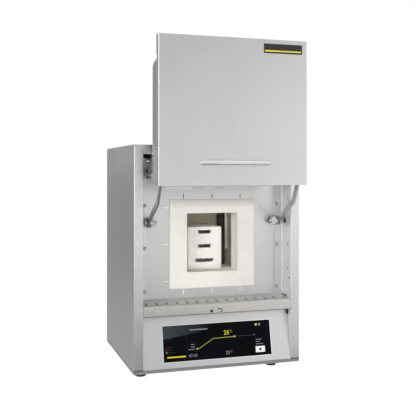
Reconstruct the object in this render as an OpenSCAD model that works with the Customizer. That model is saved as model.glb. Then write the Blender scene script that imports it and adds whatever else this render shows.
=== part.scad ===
// Bench-top sintering furnace with a lift door guided by two pairs of arms.
// Millimetres. The front faces -Y, the floor is Z 0, and X 0, Y 0 is the middle of the
// room that the furnace takes with its door up, as it is drawn here.
// Every sub-part is written in the cabinet's own corner frame (X from the left side,
// Y from the front plane, Z from the underside) and moved into place by in_place().

/* [Cabinet] */
// overall width of the cabinet
body_w = 340; // [320:1:370]
// overall depth of the cabinet
body_d = 300; // [285:1:340]
// height of the cabinet above its feet
body_h = 436; // [430:1:460]
// thickness of the housing sheet
sheet_t = 1.2; // [0.8:0.1:1.6]
// width of each front post
post_w = 18; // [15:0.5:20]
// height of the front top bar
bar_h = 18; // [14:0.5:20]
// depth from the front plane to the recessed front plate
recess_d = 47; // [45:0.5:55]
// width of the fixing flange beside each post
flange_w = 16; // [13:0.5:18]
// height of the base pan's rim
rim_h = 7; // [5:0.5:9]

/* [Feet] */
// height of the feet
foot_h = 23; // [15:0.5:30]
// diameter of a foot
foot_d = 22; // [18:0.5:28]
// distance of a foot's centre from the side of the cabinet
foot_side = 30; // [24:0.5:45]
// distance of a foot's centre from the front and from the back
foot_end = 79; // [60:1:90]

/* [Sill] */
// height of the underside of the sill above the cabinet's underside
sill_z = 108.5; // [106:0.5:112]
// height of the sill's front face with its bevel
sill_h = 22.5; // [20:0.5:24]
// number of narrow slots in the sill
sill_slots = 15; // [9:1:15]
// distance from one sill slot to the next
sill_pitch = 21; // [16:0.5:21]
// width of a sill slot
sill_slot_w = 2; // [1.5:0.1:3]
// diameter of the air knob in the sill's face
knob_d = 5; // [4:0.2:6]
// distance of the air knob from the cabinet's mid plane
knob_side = 16.2; // [12:0.1:20]

/* [Control panel] */
// lean of the control panel from the vertical, in degrees
fascia_lean = 11.6; // [8:0.2:12]
// width of the display glass
glass_w = 222; // [180:1:230]
// height of the display glass along the panel
glass_h = 68; // [55:1:70]
// thickness of the display glass
glass_t = 2; // [1.8:0.1:3]
// gap around the glass
glass_gap = 0.3; // [0.2:0.05:0.6]
// width of the port flap in the glass
flap_w = 13; // [10:0.5:15]
// height of the port flap in the glass
flap_h = 24; // [18:0.5:26]

/* [Chamber] */
// width of the chamber opening in the collar
mouth_w = 106.4; // [100:0.2:112]
// height of the chamber opening in the collar
mouth_h = 117; // [110:1:118]
// bottom of the chamber opening above the cabinet's underside
mouth_z = 184; // [180:1:188]
// width of the white collar board
collar_w = 178.6; // [170:0.2:186]
// height of the collar below the opening
collar_low = 32; // [28:0.5:34]
// height of the collar above the opening
collar_top = 27.8; // [24:0.2:32]
// how far the collar stands proud of the recessed plate
collar_proud = 2.5; // [1.5:0.1:3]
// depth of the collar board
collar_d = 39.5; // [36:0.5:42]
// inner width of the chamber behind the collar
chamber_w = 156; // [150:1:160]
// inner depth of the chamber behind the collar
chamber_d = 120; // [118:1:124]
// drop of the chamber floor below the opening
floor_drop = 4; // [2:0.5:6]
// thickness of the chamber's side insulation
wall_t = 30; // [26:1:36]
// thickness of the chamber's rear insulation
rear_t = 46; // [36:1:48]
// diameter of a heating rod
rod_d = 17; // [14:0.5:17]
// distance from the chamber's mid plane to a heating rod
rod_x = 65.3; // [64:0.1:66]
// distance from a heating rod to the chamber's rear wall
rod_back = 17; // [12:0.5:20]
// diameter of the thermocouple tube
tube_d = 7; // [5:0.5:8]
// distance of the thermocouple tube from the chamber's mid plane
tube_side = 57; // [50:0.5:60]
// distance of the thermocouple tube behind the collar
tube_back = 42; // [30:1:60]
// height of the thermocouple's tip above the bottom of the opening
tube_tip = 35.5; // [30:0.5:60]

/* [Trays] */
// width of a sintering tray
tray_w = 75; // [60:1:76]
// length of a sintering tray
tray_d = 110; // [90:1:112]
// height of the lowest tray
tray_low_h = 25; // [22:0.2:26]
// height of each upper tray
tray_h = 29.2; // [24:0.2:30]
// wall of a tray
tray_t = 4.5; // [3.5:0.1:5]
// thickness of the tray lid
lid_t = 6.3; // [5:0.1:7]

/* [Door] */
// distance of the door's sides from the cabinet's sides
door_side = 25; // [24:0.5:28]
// height of the door
door_h = 273; // [270:1:276]
// thickness of the door sheet
door_t = 1.5; // [1.2:0.1:1.8]
// depth of the flange round the door
door_rim = 16.5; // [12:0.5:18]
// depth of the door's side plates behind its front face
plate_d = 52; // [50:0.5:53]
// height of the door's side plates
plate_h = 229; // [215:1:235]
// distance of the open door's front face in front of the cabinet
door_out = 91; // [88:0.5:93]
// height of the open door's bottom edge above the cabinet's underside
door_z = 359; // [357:0.5:361]
// length of the door handle
handle_l = 134; // [100:1:160]
// height of the door handle
handle_h = 8.6; // [7:0.2:12]
// depth of the door handle
handle_d = 11; // [9:0.5:16]
// height of the handle above the door's bottom edge
handle_z = 41.7; // [36:0.1:60]

/* [Arms] */
// distance the door moves back as it closes
swing_y = 82; // [81:0.5:82.5]
// distance the door moves down as it closes
swing_z = 221; // [219:0.5:222]
// length of each arm between its pins
arm_l = 137; // [136:0.5:138]
// width of a dog-leg lower arm
arm_w = 10.5; // [9:0.5:12]
// width of a straight upper arm
arm_up_w = 10.5; // [9:0.5:12]
// diameter of the eyes at the ends of the arms
arm_eye = 15; // [14:0.5:16]
// thickness of an arm
arm_t = 4; // [3:0.5:4]
// distance of the upper pivots below the front top bar
arm_drop = 38.5; // [36.5:0.5:39.5]
// distance of the pivots behind the front plane
pivot_y = 32; // [31.5:0.1:32.5]
// height of the lower pivots above the cabinet's underside
pivot_z = 284.5; // [284:0.5:285.5]
// gap from the door's side plates to the arms
arm_gap = 4; // [3.5:0.1:4]
// diameter of the pivot bolts and door pins
pin_d = 8; // [6:0.5:8]
// radial running clearance of the arms on their pins
pin_gap = 0.06; // [0.03:0.01:0.09]

/* [Back] */
// diameter of the fan opening
fan_d = 74; // [60:1:78]
// side of the square fan frame
fan_w = 80; // [80:1:88]
// diameter of the fan's hub
hub_d = 26; // [22:1:32]
// height of the fan, inlet and switch above the cabinet's underside
fan_z = 66; // [60:1:70]
// number of fan blades
fan_blades = 7; // [5:1:9]
// distance of the mains inlet's middle from the left side
inlet_side = 64; // [50:1:76]
// width of the mains inlet's body
inlet_w = 28; // [26:0.5:30]
// height of the mains inlet's body
inlet_h = 24; // [22:0.5:28]
// distance of the switch's middle from the right side
switch_side = 75.3; // [60:0.1:90]
// width of the switch's body
switch_w = 21.4; // [19:0.1:23]
// height of the switch's body
switch_h = 28; // [26:0.5:30]
// diameter of the exhaust tube
vent_d = 20; // [18:1:24]
// bore of the exhaust tube
vent_bore = 12; // [8:1:14]

/* [Hidden] */

$fa = 6;
$fs = 0.6;
eps = 0.01;
back_out = 3;
rim_slope = 2.5;
foot_stud_d = 5.6;
screw_head = 6.2;
screw_hole = 3.1;
mid = body_w / 2;
top_z = body_h - sheet_t;
bar_z = body_h - bar_h;
plate_y = recess_d;
plate_back = recess_d + sheet_t;
wall_in = post_w;
wall_out = post_w - sheet_t;
sill_top = sill_z + sill_h;
post_z = rim_h + 1.2;
flange_screw_x = wall_in + flange_w - 3.5;
flange_screws = [sill_top + 17, pivot_z - 50.5, pivot_z + 33.5];
rear_screw_x = 7;
rear_screw_heights = [for (i = [0:3]) 40 + i * (body_h - 96) / 3];
plate_side = 5;
plate_drop = 40;
relief_w = 1.8;
relief_l = 9.9;
relief_columns = [-60, 0, 60];
relief_rows = [-17, 56, 129];
hang_slots = [[-68.3, 54, 23, 2.8], [-3.5, 22.5, 23, 2.8], [53.6, 53.9, 23, 2.8], [100.8, 38.5, 28.2, 4]];
comb_w = 8.5;
comb_pitch = 11;
comb_slots = floor((body_w - 2 * wall_in - 7) / comb_pitch);
comb_x = mid - (comb_slots - 1) * comb_pitch / 2;
base_slots = 9;
base_slot_w = 6;
base_slot_l = 70;
base_slot_pitch = 25;
base_slot_x = mid - ((base_slots - 1) * base_slot_pitch + base_slot_w) / 2;
sill_slot_x = wall_in + 8.4;
knob_x = mid - knob_side;
knob_z = sill_z + 4.3;
knob_stem_d = 3;
knob_gap = 0.12;
hook_x = mid + 6;
rear_vents = 12;
rear_vent_rows = 4;
rear_vent_l = 15;
rear_vent_h = 4;
rear_vent_pitch = 20.4;
rear_vent_step = 12;
rear_vent_x = mid - ((rear_vents - 1) * rear_vent_pitch + rear_vent_l) / 2;
rear_vent_z = body_h - 64;
inlet_x = inlet_side;
inlet_deep = 14;
switch_x = body_w - switch_side;
rocker_pin_d = 3;
rocker_pin_l = switch_w - 1.6;
fan_pin_d = 4;
fan_deep = 25;
clamp_d = rod_d + 5;
clamp_h = 10;
clamp_low = 16;
tube_cap_d = 20;
tube_cap_h = 16;
bolt_head_d = 14;
nut_d = 19.6;
nut_h = 6.5;
washer_d = 20;
washer_t = 1.4;
bolt_out = washer_t + nut_h + 3;
module_w = 60;
module_l = 54;
module_h = 30;
module_fins = 7;
module_x = body_w - 114;
module_y = body_d - 82;
fin_pitch = (module_w - 4) / (module_fins - 1);
stand_in = 12;
stand_w = 40;
fascia_y = 0.4;
fascia_z = rim_h;
fascia_l = (sill_z - fascia_z - 0.9) / cos(fascia_lean);
glass_x0 = mid - glass_w / 2;
glass_z0 = 12;
flap_x0 = glass_x0 + 5.5;
controller_d = 26;
flap_z0 = glass_z0 + glass_h - flap_h - 5;
mouth_top = mouth_z + mouth_h;
collar_y = plate_y - collar_proud;
collar_back = collar_y + collar_d;
stand_l = module_y - 4 - collar_back;
chamber_floor_z = mouth_z - floor_drop;
chamber_back = collar_back + chamber_d;
roof_t = 50;
floor_t = 40;
block_x = mid - chamber_w / 2 - wall_t;
block_z = chamber_floor_z - floor_t;
block_top = mouth_top + roof_t;
block_back = chamber_back + rear_t;
case_t = 1;
rod_y = chamber_back - rod_back;
rod_top = block_top + 26;
tube_x = mid + tube_side;
tube_y = collar_back + tube_back;
tube_end = mouth_z + tube_tip;
tray_x = mid - 40;
tray_y = collar_back + 5;
vent_y = collar_back + 60;
door_x = door_side;
door_w = body_w - 2 * door_side;
door_front = -door_out;
door_back = door_front + plate_d;
plate_x = door_x + door_t;
arm_x = plate_x + door_t + arm_gap;
arm_rise = bar_z - arm_drop - pivot_z;
chord = sqrt(swing_y * swing_y + swing_z * swing_z);
chord_h = sqrt(arm_l * arm_l - chord * chord / 4);
arm_dy = -swing_y / 2 - chord_h * swing_z / chord;
arm_dz = swing_z / 2 - chord_h * swing_y / chord;
pin_y = pivot_y + arm_dy;
pin_z = pivot_z + arm_dz;
bend_along = arm_l * 0.638;
bend_off = arm_l * 0.129;
up_bend_off = -0.4;
ear_x = arm_x + arm_t + 0.4;
ear_t = 3;
ear_d = 18.5;
ear_foot = 11;
ear_foot_t = 1.8;
ear_gap = 0.3;
ear_foot_h = 36;
nut_x = ear_x + ear_t;
pivot_heights = [pivot_z, pivot_z + arm_rise];
pin_heights = [pin_z, pin_z + arm_rise];
plate_screws = [68.5, 190.5];
plate_screw_y = door_front + 23.5;
access_d = pin_d + 4;
tool_hole_d = 2.6;
tool_holes = [[16, 45.5], [9.5, 39.5], [16, -47.5], [16, -97.5], [9.5, -115.8]];
head_x = plate_x + door_t + 0.8;
pack_side = 29;
pack_x = door_x + pack_side;
pack_w = door_w - 2 * pack_side;
pack_z = door_z + 7;
pack_h = plate_h - 11;
pack_back = -swing_y + collar_y - 0.3;

module in_place() {
  translate([-body_w / 2, -(body_d + back_out - door_out - handle_d) / 2, foot_h]) children();
}

// a block from one corner to the other
module block(x0, x1, y0, y1, z0, z1) {
  translate([x0, y0, z0]) cube([x1 - x0, y1 - y0, z1 - z0]);
}

// the same piece on the left and on the right
module both_sides() {
  children();
  right_side() children();
}

module right_side() {
  translate([body_w, 0, 0]) mirror([1, 0, 0]) children();
}

// a Y-Z outline drawn out along X
module along_x(x0, x1) {
  translate([x0, 0, 0]) rotate([90, 0, 90]) linear_extrude(height = x1 - x0) children();
}

// an X-Z outline drawn out along Y
module along_y(y0, y1) {
  translate([0, y1, 0]) rotate([90, 0, 0]) linear_extrude(height = y1 - y0) children();
}

module rod_x_axis(x0, x1, y, z, d) {
  translate([x0, y, z]) rotate([0, 90, 0]) cylinder(h = x1 - x0, d = d);
}

module rod_y_axis(x, y0, y1, z, d) {
  translate([x, y0, z]) rotate([-90, 0, 0]) cylinder(h = y1 - y0, d = d);
}

// round head screw looking along -Y, seated on the plane y
module screw_y(x, y, z, head = 6, depth = 5) {
  rod_y_axis(x, y - 2, y, z, head);
  rod_y_axis(x, y - eps, y + depth, z, head / 2);
}

module base_pan() color("#8d8a86") in_place() difference() {
  along_x(0, body_w) polygon([
    [0, rim_h], [rim_slope, 0], [body_d - rim_slope, 0], [body_d, rim_h]
  ]);
  along_x(sheet_t, body_w - sheet_t) polygon([
    [sheet_t, rim_h + 1], [sheet_t, rim_h - 0.5], [rim_slope + sheet_t, sheet_t],
    [body_d - rim_slope - sheet_t, sheet_t], [body_d - sheet_t, rim_h - 0.5],
    [body_d - sheet_t, rim_h + 1]
  ]);
  for (i = [0:base_slots - 1])
    block(base_slot_x + base_slot_pitch * i, base_slot_x + base_slot_pitch * i + base_slot_w,
      (body_d - base_slot_l) / 2, (body_d + base_slot_l) / 2, -1, sheet_t + 1);
  for (x = [foot_side, body_w - foot_side]) for (y = [foot_end, body_d - foot_end])
    translate([x, y, -1]) cylinder(h = 6, d = foot_stud_d + 0.4);
}

module side_outline() {
  polygon([
    [0, rim_h], [sheet_t, rim_h], [sheet_t, body_h - sheet_t], [0, body_h]
  ]);
}

module side_panel() {
  difference() {
    union() {
      intersection() {
        block(0, sheet_t, 0, body_d - sheet_t, rim_h, body_h);
        along_y(0, body_d) side_outline();
      }
      along_y(0, sheet_t) polygon([
        [0, post_z], [post_w, post_z], [post_w, body_h - post_w], [0, body_h]
      ]);
      block(wall_out, wall_in, 0, plate_y, post_z, bar_z);
      block(wall_out, wall_in + flange_w, plate_y - sheet_t, plate_y, sill_top + 3, bar_z);
      block(0, 2 * rear_screw_x, body_d - 2 * sheet_t, body_d - sheet_t, rim_h, top_z);
    }
    block(-1, 2 * sheet_t, -1, body_d, -1, rim_h);
    for (z = pivot_heights) rod_x_axis(wall_out - 1, wall_in + 1, pivot_y, z, access_d);
    for (q = tool_holes) rod_x_axis(wall_out - 1, wall_in + 1, q[0], pivot_z + q[1], tool_hole_d);
    for (z = flange_screws) rod_y_axis(flange_screw_x, plate_y - 4, plate_y + 1, z, screw_hole);
    for (z = rear_screw_heights) rod_y_axis(rear_screw_x, body_d - 6, body_d + 1, z, screw_hole);
  }
}

module left_side_panel() color("#a5a3a1") in_place() side_panel();

module right_side_panel() color("#a5a3a1") in_place() right_side() side_panel();

module top_cover() color("#c9cbcc") in_place() difference() {
  union() {
    intersection() {
      block(0, body_w, 0, body_d, top_z, body_h);
      along_y(-1, body_d + 1) polygon([
        [0, body_h], [body_w, body_h], [body_w - sheet_t, top_z], [sheet_t, top_z]
      ]);
    }
    along_y(0, sheet_t) polygon([
      [0, body_h], [body_w, body_h], [body_w - post_w, body_h - post_w],
      [body_w - post_w, bar_z], [post_w, bar_z], [post_w, body_h - post_w]
    ]);
    block(wall_out, body_w - wall_out, 0, plate_y, bar_z, bar_z + sheet_t);
  }
  block(wall_out - 1, wall_in, sheet_t, plate_y + 1, bar_z - 1, bar_z + 3);
  block(body_w - wall_in, body_w - wall_out + 1, sheet_t, plate_y + 1, bar_z - 1, bar_z + 3);
  translate([mid, vent_y, top_z - 1]) cylinder(h = 5, d = vent_d + 10);
}

module rear_panel() color("#b4b4b3") in_place() difference() {
  block(0, body_w, body_d - sheet_t, body_d, rim_h, top_z);
  rod_y_axis(mid, body_d - 4, body_d + 1, fan_z, fan_d);
  for (x = [-1, 1]) for (z = [-1, 1])
    rod_y_axis(mid + x * (fan_w / 2 - 5), body_d - 4, body_d + 1, fan_z + z * (fan_w / 2 - 5), 4.2);
  plug_box(inlet_x, inlet_w, inlet_h, body_d - 4, body_d + 1);
  plug_box(switch_x, switch_w, switch_h, body_d - 4, body_d + 1);
  for (r = [0:rear_vent_rows - 1]) for (i = [0:rear_vents - 1])
    block(rear_vent_x + rear_vent_pitch * i, rear_vent_x + rear_vent_pitch * i + rear_vent_l,
      body_d - 4, body_d + 1,
      rear_vent_z + rear_vent_step * r, rear_vent_z + rear_vent_step * r + rear_vent_h);
  for (x = [rear_screw_x, body_w - rear_screw_x]) for (z = rear_screw_heights)
    rod_y_axis(x, body_d - 6, body_d + 1, z, screw_hole);
}

// a box on the row of mains fittings, drawn along Y about its middle x
module plug_box(x, w, h, y0, y1) {
  block(x - w / 2, x + w / 2, y0, y1, fan_z - h / 2, fan_z + h / 2);
}

module recess_plate() color("#c3c3c4") in_place() difference() {
  union() {
    block(plate_side, body_w - plate_side, plate_y, plate_back, sill_z - plate_drop, top_z);
    block(plate_side, body_w - plate_side, plate_back, plate_back + 12, top_z - sheet_t, top_z);
  }
  block(mid - collar_w / 2, mid + collar_w / 2, plate_y - 5, plate_back + 5,
    mouth_z - collar_low, mouth_top + collar_top);
  for (x = relief_columns) {
    plate_slot(mid + x, relief_w, mouth_top + collar_top + relief_l / 2 + 1.6, relief_l);
    plate_slot(mid + x, relief_w, mouth_z - collar_low - relief_l / 2 - 1.6, relief_l);
  }
  for (z = relief_rows) both_sides()
    plate_slot(mid - collar_w / 2 - relief_l / 2 - 1.2, relief_l, mouth_z + z, relief_w);
  for (q = hang_slots) plate_slot(mid + q[0], q[1], mouth_top + collar_top + q[2], q[3]);
  for (i = [0:comb_slots - 1]) {
    plate_slot(comb_x + comb_pitch * i, comb_w, bar_z - 5.5, 8);
    plate_slot(comb_x + comb_pitch * i, comb_w, bar_z - 14, 3);
  }
  for (z = flange_screws) both_sides()
    rod_y_axis(flange_screw_x, plate_y - 4, plate_back + 1, z, screw_hole);
  for (z = pivot_heights) both_sides()
    block(ear_x - ear_gap, nut_x + ear_gap, plate_y - 1, plate_back + 1,
      z - ear_d / 2 - ear_gap, z + ear_d / 2 + ear_gap);
}

// a slot through the recessed plate, w wide and h high about its middle
module plate_slot(x, w, z, h) {
  block(x - w / 2, x + w / 2, plate_y - 1, plate_back + 1, z - h / 2, z + h / 2);
}

module sill() color("#b0aeac") in_place() difference() {
  along_x(wall_in + 0.3, body_w - wall_in - 0.3) polygon([
    [0, sill_z], [0, sill_top - 3], [3, sill_top], [plate_y, sill_top + 1],
    [plate_y, sill_top - 0.2], [3.5, sill_top - 1.2], [1.2, sill_top - 3.5],
    [1.2, sill_z + 1.2], [16, sill_z + 1.2], [16, sill_z]
  ]);
  for (i = [0:sill_slots - 2])
    block(sill_slot_x + sill_pitch * i, sill_slot_x + sill_pitch * i + sill_slot_w,
      5, 28, sill_top - 4, sill_top + 3);
  block(body_w - wall_in - 3.2, body_w, 5, 36, sill_top - 4, sill_top + 3);
  rod_y_axis(knob_x, -1, 3, knob_z, knob_stem_d + knob_gap);
  block(hook_x - 10.3, hook_x, -1, 3, sill_z + 7.2, sill_z + 8.2);
  block(hook_x - 1, hook_x, -1, 3, sill_z + 2.4, sill_z + 8.2);
  block(hook_x - 4.6, hook_x, -1, 3, sill_z + 1.8, sill_z + 2.8);
}

// the control panel's own frame: X along the panel, Z up its slope, -Y out of its face
module on_fascia() {
  translate([0, fascia_y, fascia_z]) rotate([-fascia_lean, 0, 0]) children();
}

module control_fascia() color("#cfd1d3") in_place() difference() {
  on_fascia() {
    block(wall_in + 0.4, body_w - wall_in - 0.4, 0, 1.5, 0, fascia_l);
    block(wall_in + 0.4, body_w - wall_in - 0.4, 0, 14, fascia_l - 1.5, fascia_l);
    block(wall_in + 0.4, body_w - wall_in - 0.4, 0, 10, 0, 1.5);
    both_sides() block(wall_in + 0.4, wall_in + 1.9, 0, 12, 0, fascia_l);
  }
  on_fascia() {
    block(glass_x0 - glass_gap, glass_x0 + glass_w + glass_gap, -5, 1.5 + eps,
      glass_z0 - glass_gap, glass_z0 + glass_h + glass_gap);
    block(body_w - wall_in - 4, body_w - wall_in - 1.9, -5, 1.5 + eps, fascia_l - 11.5, fascia_l - 5);
  }
  block(0, body_w, -fascia_l, fascia_l, fascia_z - fascia_l, fascia_z);
}

module controller_unit() color("#2b2d30") in_place() on_fascia() difference() {
  union() {
    block(glass_x0 - 3, glass_x0 + glass_w + 3, 1.5, 3, glass_z0 - 3, glass_z0 + glass_h + 3);
    block(glass_x0 + 4, glass_x0 + glass_w - 4, 3, controller_d, glass_z0 + 2, glass_z0 + glass_h - 2);
  }
  block(flap_x0 + 1.5, flap_x0 + flap_w - 1.5, 0, 15, flap_z0 + 3, flap_z0 + flap_h - 3);
}

module touch_glass() color("#0a0c12") in_place() on_fascia() difference() {
  block(glass_x0, glass_x0 + glass_w, 1.5 - glass_t, 1.5, glass_z0, glass_z0 + glass_h);
  block(flap_x0 - 0.3, flap_x0 + flap_w + 0.3, -3, 1.5 + eps, flap_z0 - 0.3, flap_z0 + flap_h + 0.3);
}

module port_flap() color("#23272f") in_place() on_fascia() union() {
  block(flap_x0 + 0.7, flap_x0 + flap_w, -0.8, 0.6, flap_z0, flap_z0 + flap_h);
  translate([flap_x0 + 0.7, -0.1, flap_z0]) cylinder(h = flap_h, d = 1.4);
}

module foot() {
  translate([0, 0, -foot_h]) cylinder(h = foot_h - 6, d = foot_d);
  translate([0, 0, -7]) cylinder(h = 7, d = foot_d - 4);
  translate([0, 0, -eps]) cylinder(h = sheet_t + 4, d = foot_stud_d);
}

module feet() color("#1b1b1c") in_place() {
  for (x = [foot_side, body_w - foot_side]) for (y = [foot_end, body_d - foot_end])
    translate([x, y, 0]) foot();
}

module collar() color("#e6e2dd") in_place() difference() {
  block(mid - collar_w / 2, mid + collar_w / 2, collar_y, collar_back,
    mouth_z - collar_low, mouth_top + collar_top);
  block(mid - mouth_w / 2, mid + mouth_w / 2, collar_y - 1, collar_back + 1, mouth_z, mouth_top);
}

module front_insulation() color("#ebe8e3") in_place() difference() {
  block(block_x, body_w - block_x, plate_back, collar_back, block_z, block_top);
  block(mid - collar_w / 2, mid + collar_w / 2, plate_back - 1, collar_back + 1,
    mouth_z - collar_low, mouth_top + collar_top);
}

module chamber_floor() color("#e3ded6") in_place()
  block(block_x, body_w - block_x, collar_back, chamber_back, block_z, chamber_floor_z);

module chamber_roof() color("#e3ded6") in_place() difference() {
  block(block_x, body_w - block_x, collar_back, chamber_back, mouth_top, block_top);
  for (s = [-1, 1]) translate([mid + s * rod_x, rod_y, mouth_top - 1])
    cylinder(h = roof_t + 2, d = rod_d + 1);
  translate([tube_x, tube_y, mouth_top - 1]) cylinder(h = roof_t + 2, d = tube_d + 0.4);
  translate([mid, vent_y, mouth_top - 1]) cylinder(h = roof_t + 2, d = vent_d);
}

module side_wall() {
  block(block_x, block_x + wall_t, collar_back, chamber_back, chamber_floor_z, mouth_top);
}

module chamber_left_wall() color("#e3ded6") in_place() side_wall();

module chamber_right_wall() color("#e3ded6") in_place() right_side() side_wall();

module chamber_rear_wall() color("#ddd8cf") in_place()
  block(block_x, body_w - block_x, chamber_back, block_back, block_z, block_top);

module inner_casing() color("#9ea1a3") in_place() difference() {
  block(block_x - case_t, body_w - block_x + case_t, plate_back, block_back + case_t,
    block_z - case_t, block_top + case_t);
  block(block_x, body_w - block_x, plate_back - 1, block_back, block_z, block_top);
  for (s = [-1, 1]) translate([mid + s * rod_x, rod_y, block_top - 1]) cylinder(h = 5, d = rod_d + 1);
  translate([tube_x, tube_y, block_top - 1]) cylinder(h = 5, d = tube_d + 0.4);
  translate([mid, vent_y, block_top - 1]) cylinder(h = 5, d = vent_d);
}

module casing_stands() color("#9ea1a3") in_place() difference() {
  for (x = [block_x + stand_in, body_w - block_x - stand_in - stand_w])
    block(x, x + stand_w, collar_back, collar_back + stand_l, sheet_t, block_z - case_t);
  for (x = [block_x + stand_in, body_w - block_x - stand_in - stand_w])
    block(x + sheet_t, x + stand_w + 1, collar_back - 1, collar_back + stand_l + 1,
      2 * sheet_t, block_z - case_t - sheet_t);
}

module heating_rod() {
  translate([mid + rod_x, rod_y, chamber_floor_z]) cylinder(h = rod_top - chamber_floor_z, d = rod_d);
}

module right_heating_rod() color("#26241f") in_place() heating_rod();

module left_heating_rod() color("#26241f") in_place() right_side() heating_rod();

module rod_clamps() color("#b9bcbd") in_place() difference() {
  for (s = [-1, 1]) union() {
    translate([mid + s * rod_x, rod_y, rod_top - clamp_low]) cylinder(h = clamp_h, d = clamp_d);
    block(mid + s * rod_x - 2.5, mid + s * rod_x + 2.5, rod_y + rod_d / 2 + 0.5, rod_y + rod_d / 2 + 14,
      rod_top - clamp_low, rod_top - clamp_low + clamp_h);
  }
  for (s = [-1, 1]) translate([mid + s * rod_x, rod_y, rod_top - clamp_low - 1])
    cylinder(h = clamp_h + 2, d = rod_d);
}

module thermocouple() color("#a39b8c") in_place() {
  translate([tube_x, tube_y, tube_end + tube_d / 2]) cylinder(h = block_top + 10 - tube_end, d = tube_d);
  translate([tube_x, tube_y, tube_end + tube_d / 2]) sphere(d = tube_d);
  translate([tube_x, tube_y, block_top + case_t]) cylinder(h = tube_cap_h, d = tube_cap_d);
}

// one tray: a box with rounded upright corners and a window cut down from its front and back rims
module tray_shell(w, d, h, r) {
  union() {
    block(r, w - r, 0, d, 0, h);
    block(0, w, r, d - r, 0, h);
    for (x = [r, w - r]) for (y = [r, d - r]) translate([x, y, 0]) cylinder(h = h, r = r);
  }
}

module tray(z, h, win_top, win_low) {
  translate([tray_x, tray_y, z]) difference() {
    tray_shell(tray_w, tray_d, h, 5);
    translate([tray_t, tray_t, tray_t])
      tray_shell(tray_w - 2 * tray_t, tray_d - 2 * tray_t, h, 3);
    translate([tray_w / 2 - 0.8, 0, h]) along_y(-1, tray_d + 1) polygon([
      [-win_top / 2, 1], [-win_low / 2, -7.2], [win_low / 2, -7.2], [win_top / 2, 1]
    ]);
  }
}

module sagger_bottom() color("#e9e6e1") in_place() tray(chamber_floor_z, tray_low_h, 40.5, 37);

module sagger_middle() color("#e9e6e1") in_place()
  tray(chamber_floor_z + tray_low_h, tray_h, 28.5, 25.5);

module sagger_top() color("#e9e6e1") in_place()
  tray(chamber_floor_z + tray_low_h + tray_h, tray_h, 28.5, 25.5);

module sagger_lid() color("#e9e6e1") in_place() union() {
  translate([tray_x, tray_y, chamber_floor_z + tray_low_h + 2 * tray_h]) {
    tray_shell(tray_w, tray_d, lid_t - 1.5, 5);
    translate([1.2, 1.2, lid_t - 1.5 - eps]) tray_shell(tray_w - 2.4, tray_d - 2.4, 1.5 + eps, 4);
  }
}

module exhaust_tube() color("#d9d3c8") in_place() difference() {
  translate([mid, vent_y, mouth_top]) cylinder(h = body_h + 3 - mouth_top, d = vent_d);
  translate([mid, vent_y, mouth_top - 1]) cylinder(h = body_h + 6 - mouth_top, d = vent_bore);
}

module exhaust_ring() color("#b9bcbd") in_place() difference() {
  translate([mid, vent_y, body_h]) cylinder(h = 1.5, d = vent_d + 26);
  translate([mid, vent_y, body_h - 1]) cylinder(h = 4, d = vent_d);
}

// an arm as a flat strip through its points, with off as the bend's offset from a straight line
function unit(v) = v / norm(v);
function side_of(v) = [-v[1], v[0]];

module arm_strip(b, e, w) {
  n1 = side_of(unit(b)) * w / 2;
  n2 = side_of(unit(e - b)) * w / 2;
  m = unit(n1 + n2);
  k = m * w * w / 4 / (m * n1);
  polygon([n1, b + k, e + n2, e - n2, b - k, -n1]);
}

module arm(z, w, off) {
  e = [arm_dy, arm_dz];
  b = unit(e) * bend_along + side_of(unit(e)) * off;
  translate([arm_x, pivot_y, z]) difference() {
    union() {
      along_x(0, arm_t) arm_strip(b, e, w);
      rod_x_axis(0, arm_t, 0, 0, arm_eye);
      rod_x_axis(0, arm_t, arm_dy, arm_dz, arm_eye);
    }
    rod_x_axis(-1, arm_t + 1, 0, 0, pin_d + 2 * pin_gap);
    rod_x_axis(-1, arm_t + 1, arm_dy, arm_dz, pin_d + 2 * pin_gap);
  }
}

module left_lower_arm() color("#a9aaab") in_place() arm(pivot_z, arm_w, bend_off);

module right_lower_arm() color("#a9aaab") in_place() right_side() arm(pivot_z, arm_w, bend_off);

module left_upper_arm() color("#a9aaab") in_place() arm(pivot_z + arm_rise, arm_up_w, up_bend_off);

module right_upper_arm() color("#a9aaab") in_place() right_side()
  arm(pivot_z + arm_rise, arm_up_w, up_bend_off);

module one_pivot_brackets() {
  for (z = pivot_heights) difference() {
    union() {
      rod_x_axis(ear_x, ear_x + ear_t, pivot_y, z, ear_d);
      block(ear_x, ear_x + ear_t, pivot_y, plate_back + eps, z - ear_d / 2, z + ear_d / 2);
      block(nut_x - ear_foot, nut_x, plate_back, plate_back + ear_foot_t,
        z - ear_foot_h / 2, z + ear_foot_h / 2);
    }
    rod_x_axis(ear_x - 1, ear_x + ear_t + 1, pivot_y, z, pin_d);
  }
}

module pivot_brackets() color("#d2d4d5") in_place() both_sides() one_pivot_brackets();

module one_pivot_bolts() {
  for (z = pivot_heights) {
    rod_x_axis(head_x, arm_x - 0.2, pivot_y, z, bolt_head_d);
    rod_x_axis(arm_x - 0.3, nut_x + bolt_out, pivot_y, z, pin_d);
  }
}

module pivot_bolts() color("#6d6d6c") in_place() both_sides() one_pivot_bolts();

module one_pivot_nuts() {
  for (z = pivot_heights) difference() {
    union() {
      rod_x_axis(nut_x, nut_x + washer_t, pivot_y, z, washer_d);
      translate([nut_x + washer_t - eps, pivot_y, z]) rotate([0, 90, 0])
        cylinder(h = nut_h, d = nut_d, $fn = 6);
    }
    rod_x_axis(nut_x - 1, nut_x + bolt_out + 1, pivot_y, z, pin_d);
  }
}

module pivot_nuts() color("#8f9091") in_place() both_sides() one_pivot_nuts();

module recess_screws() color("#c9cbcc") in_place() both_sides()
  for (z = flange_screws) screw_y(flange_screw_x, plate_y - sheet_t, z, screw_head, 6);

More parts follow.
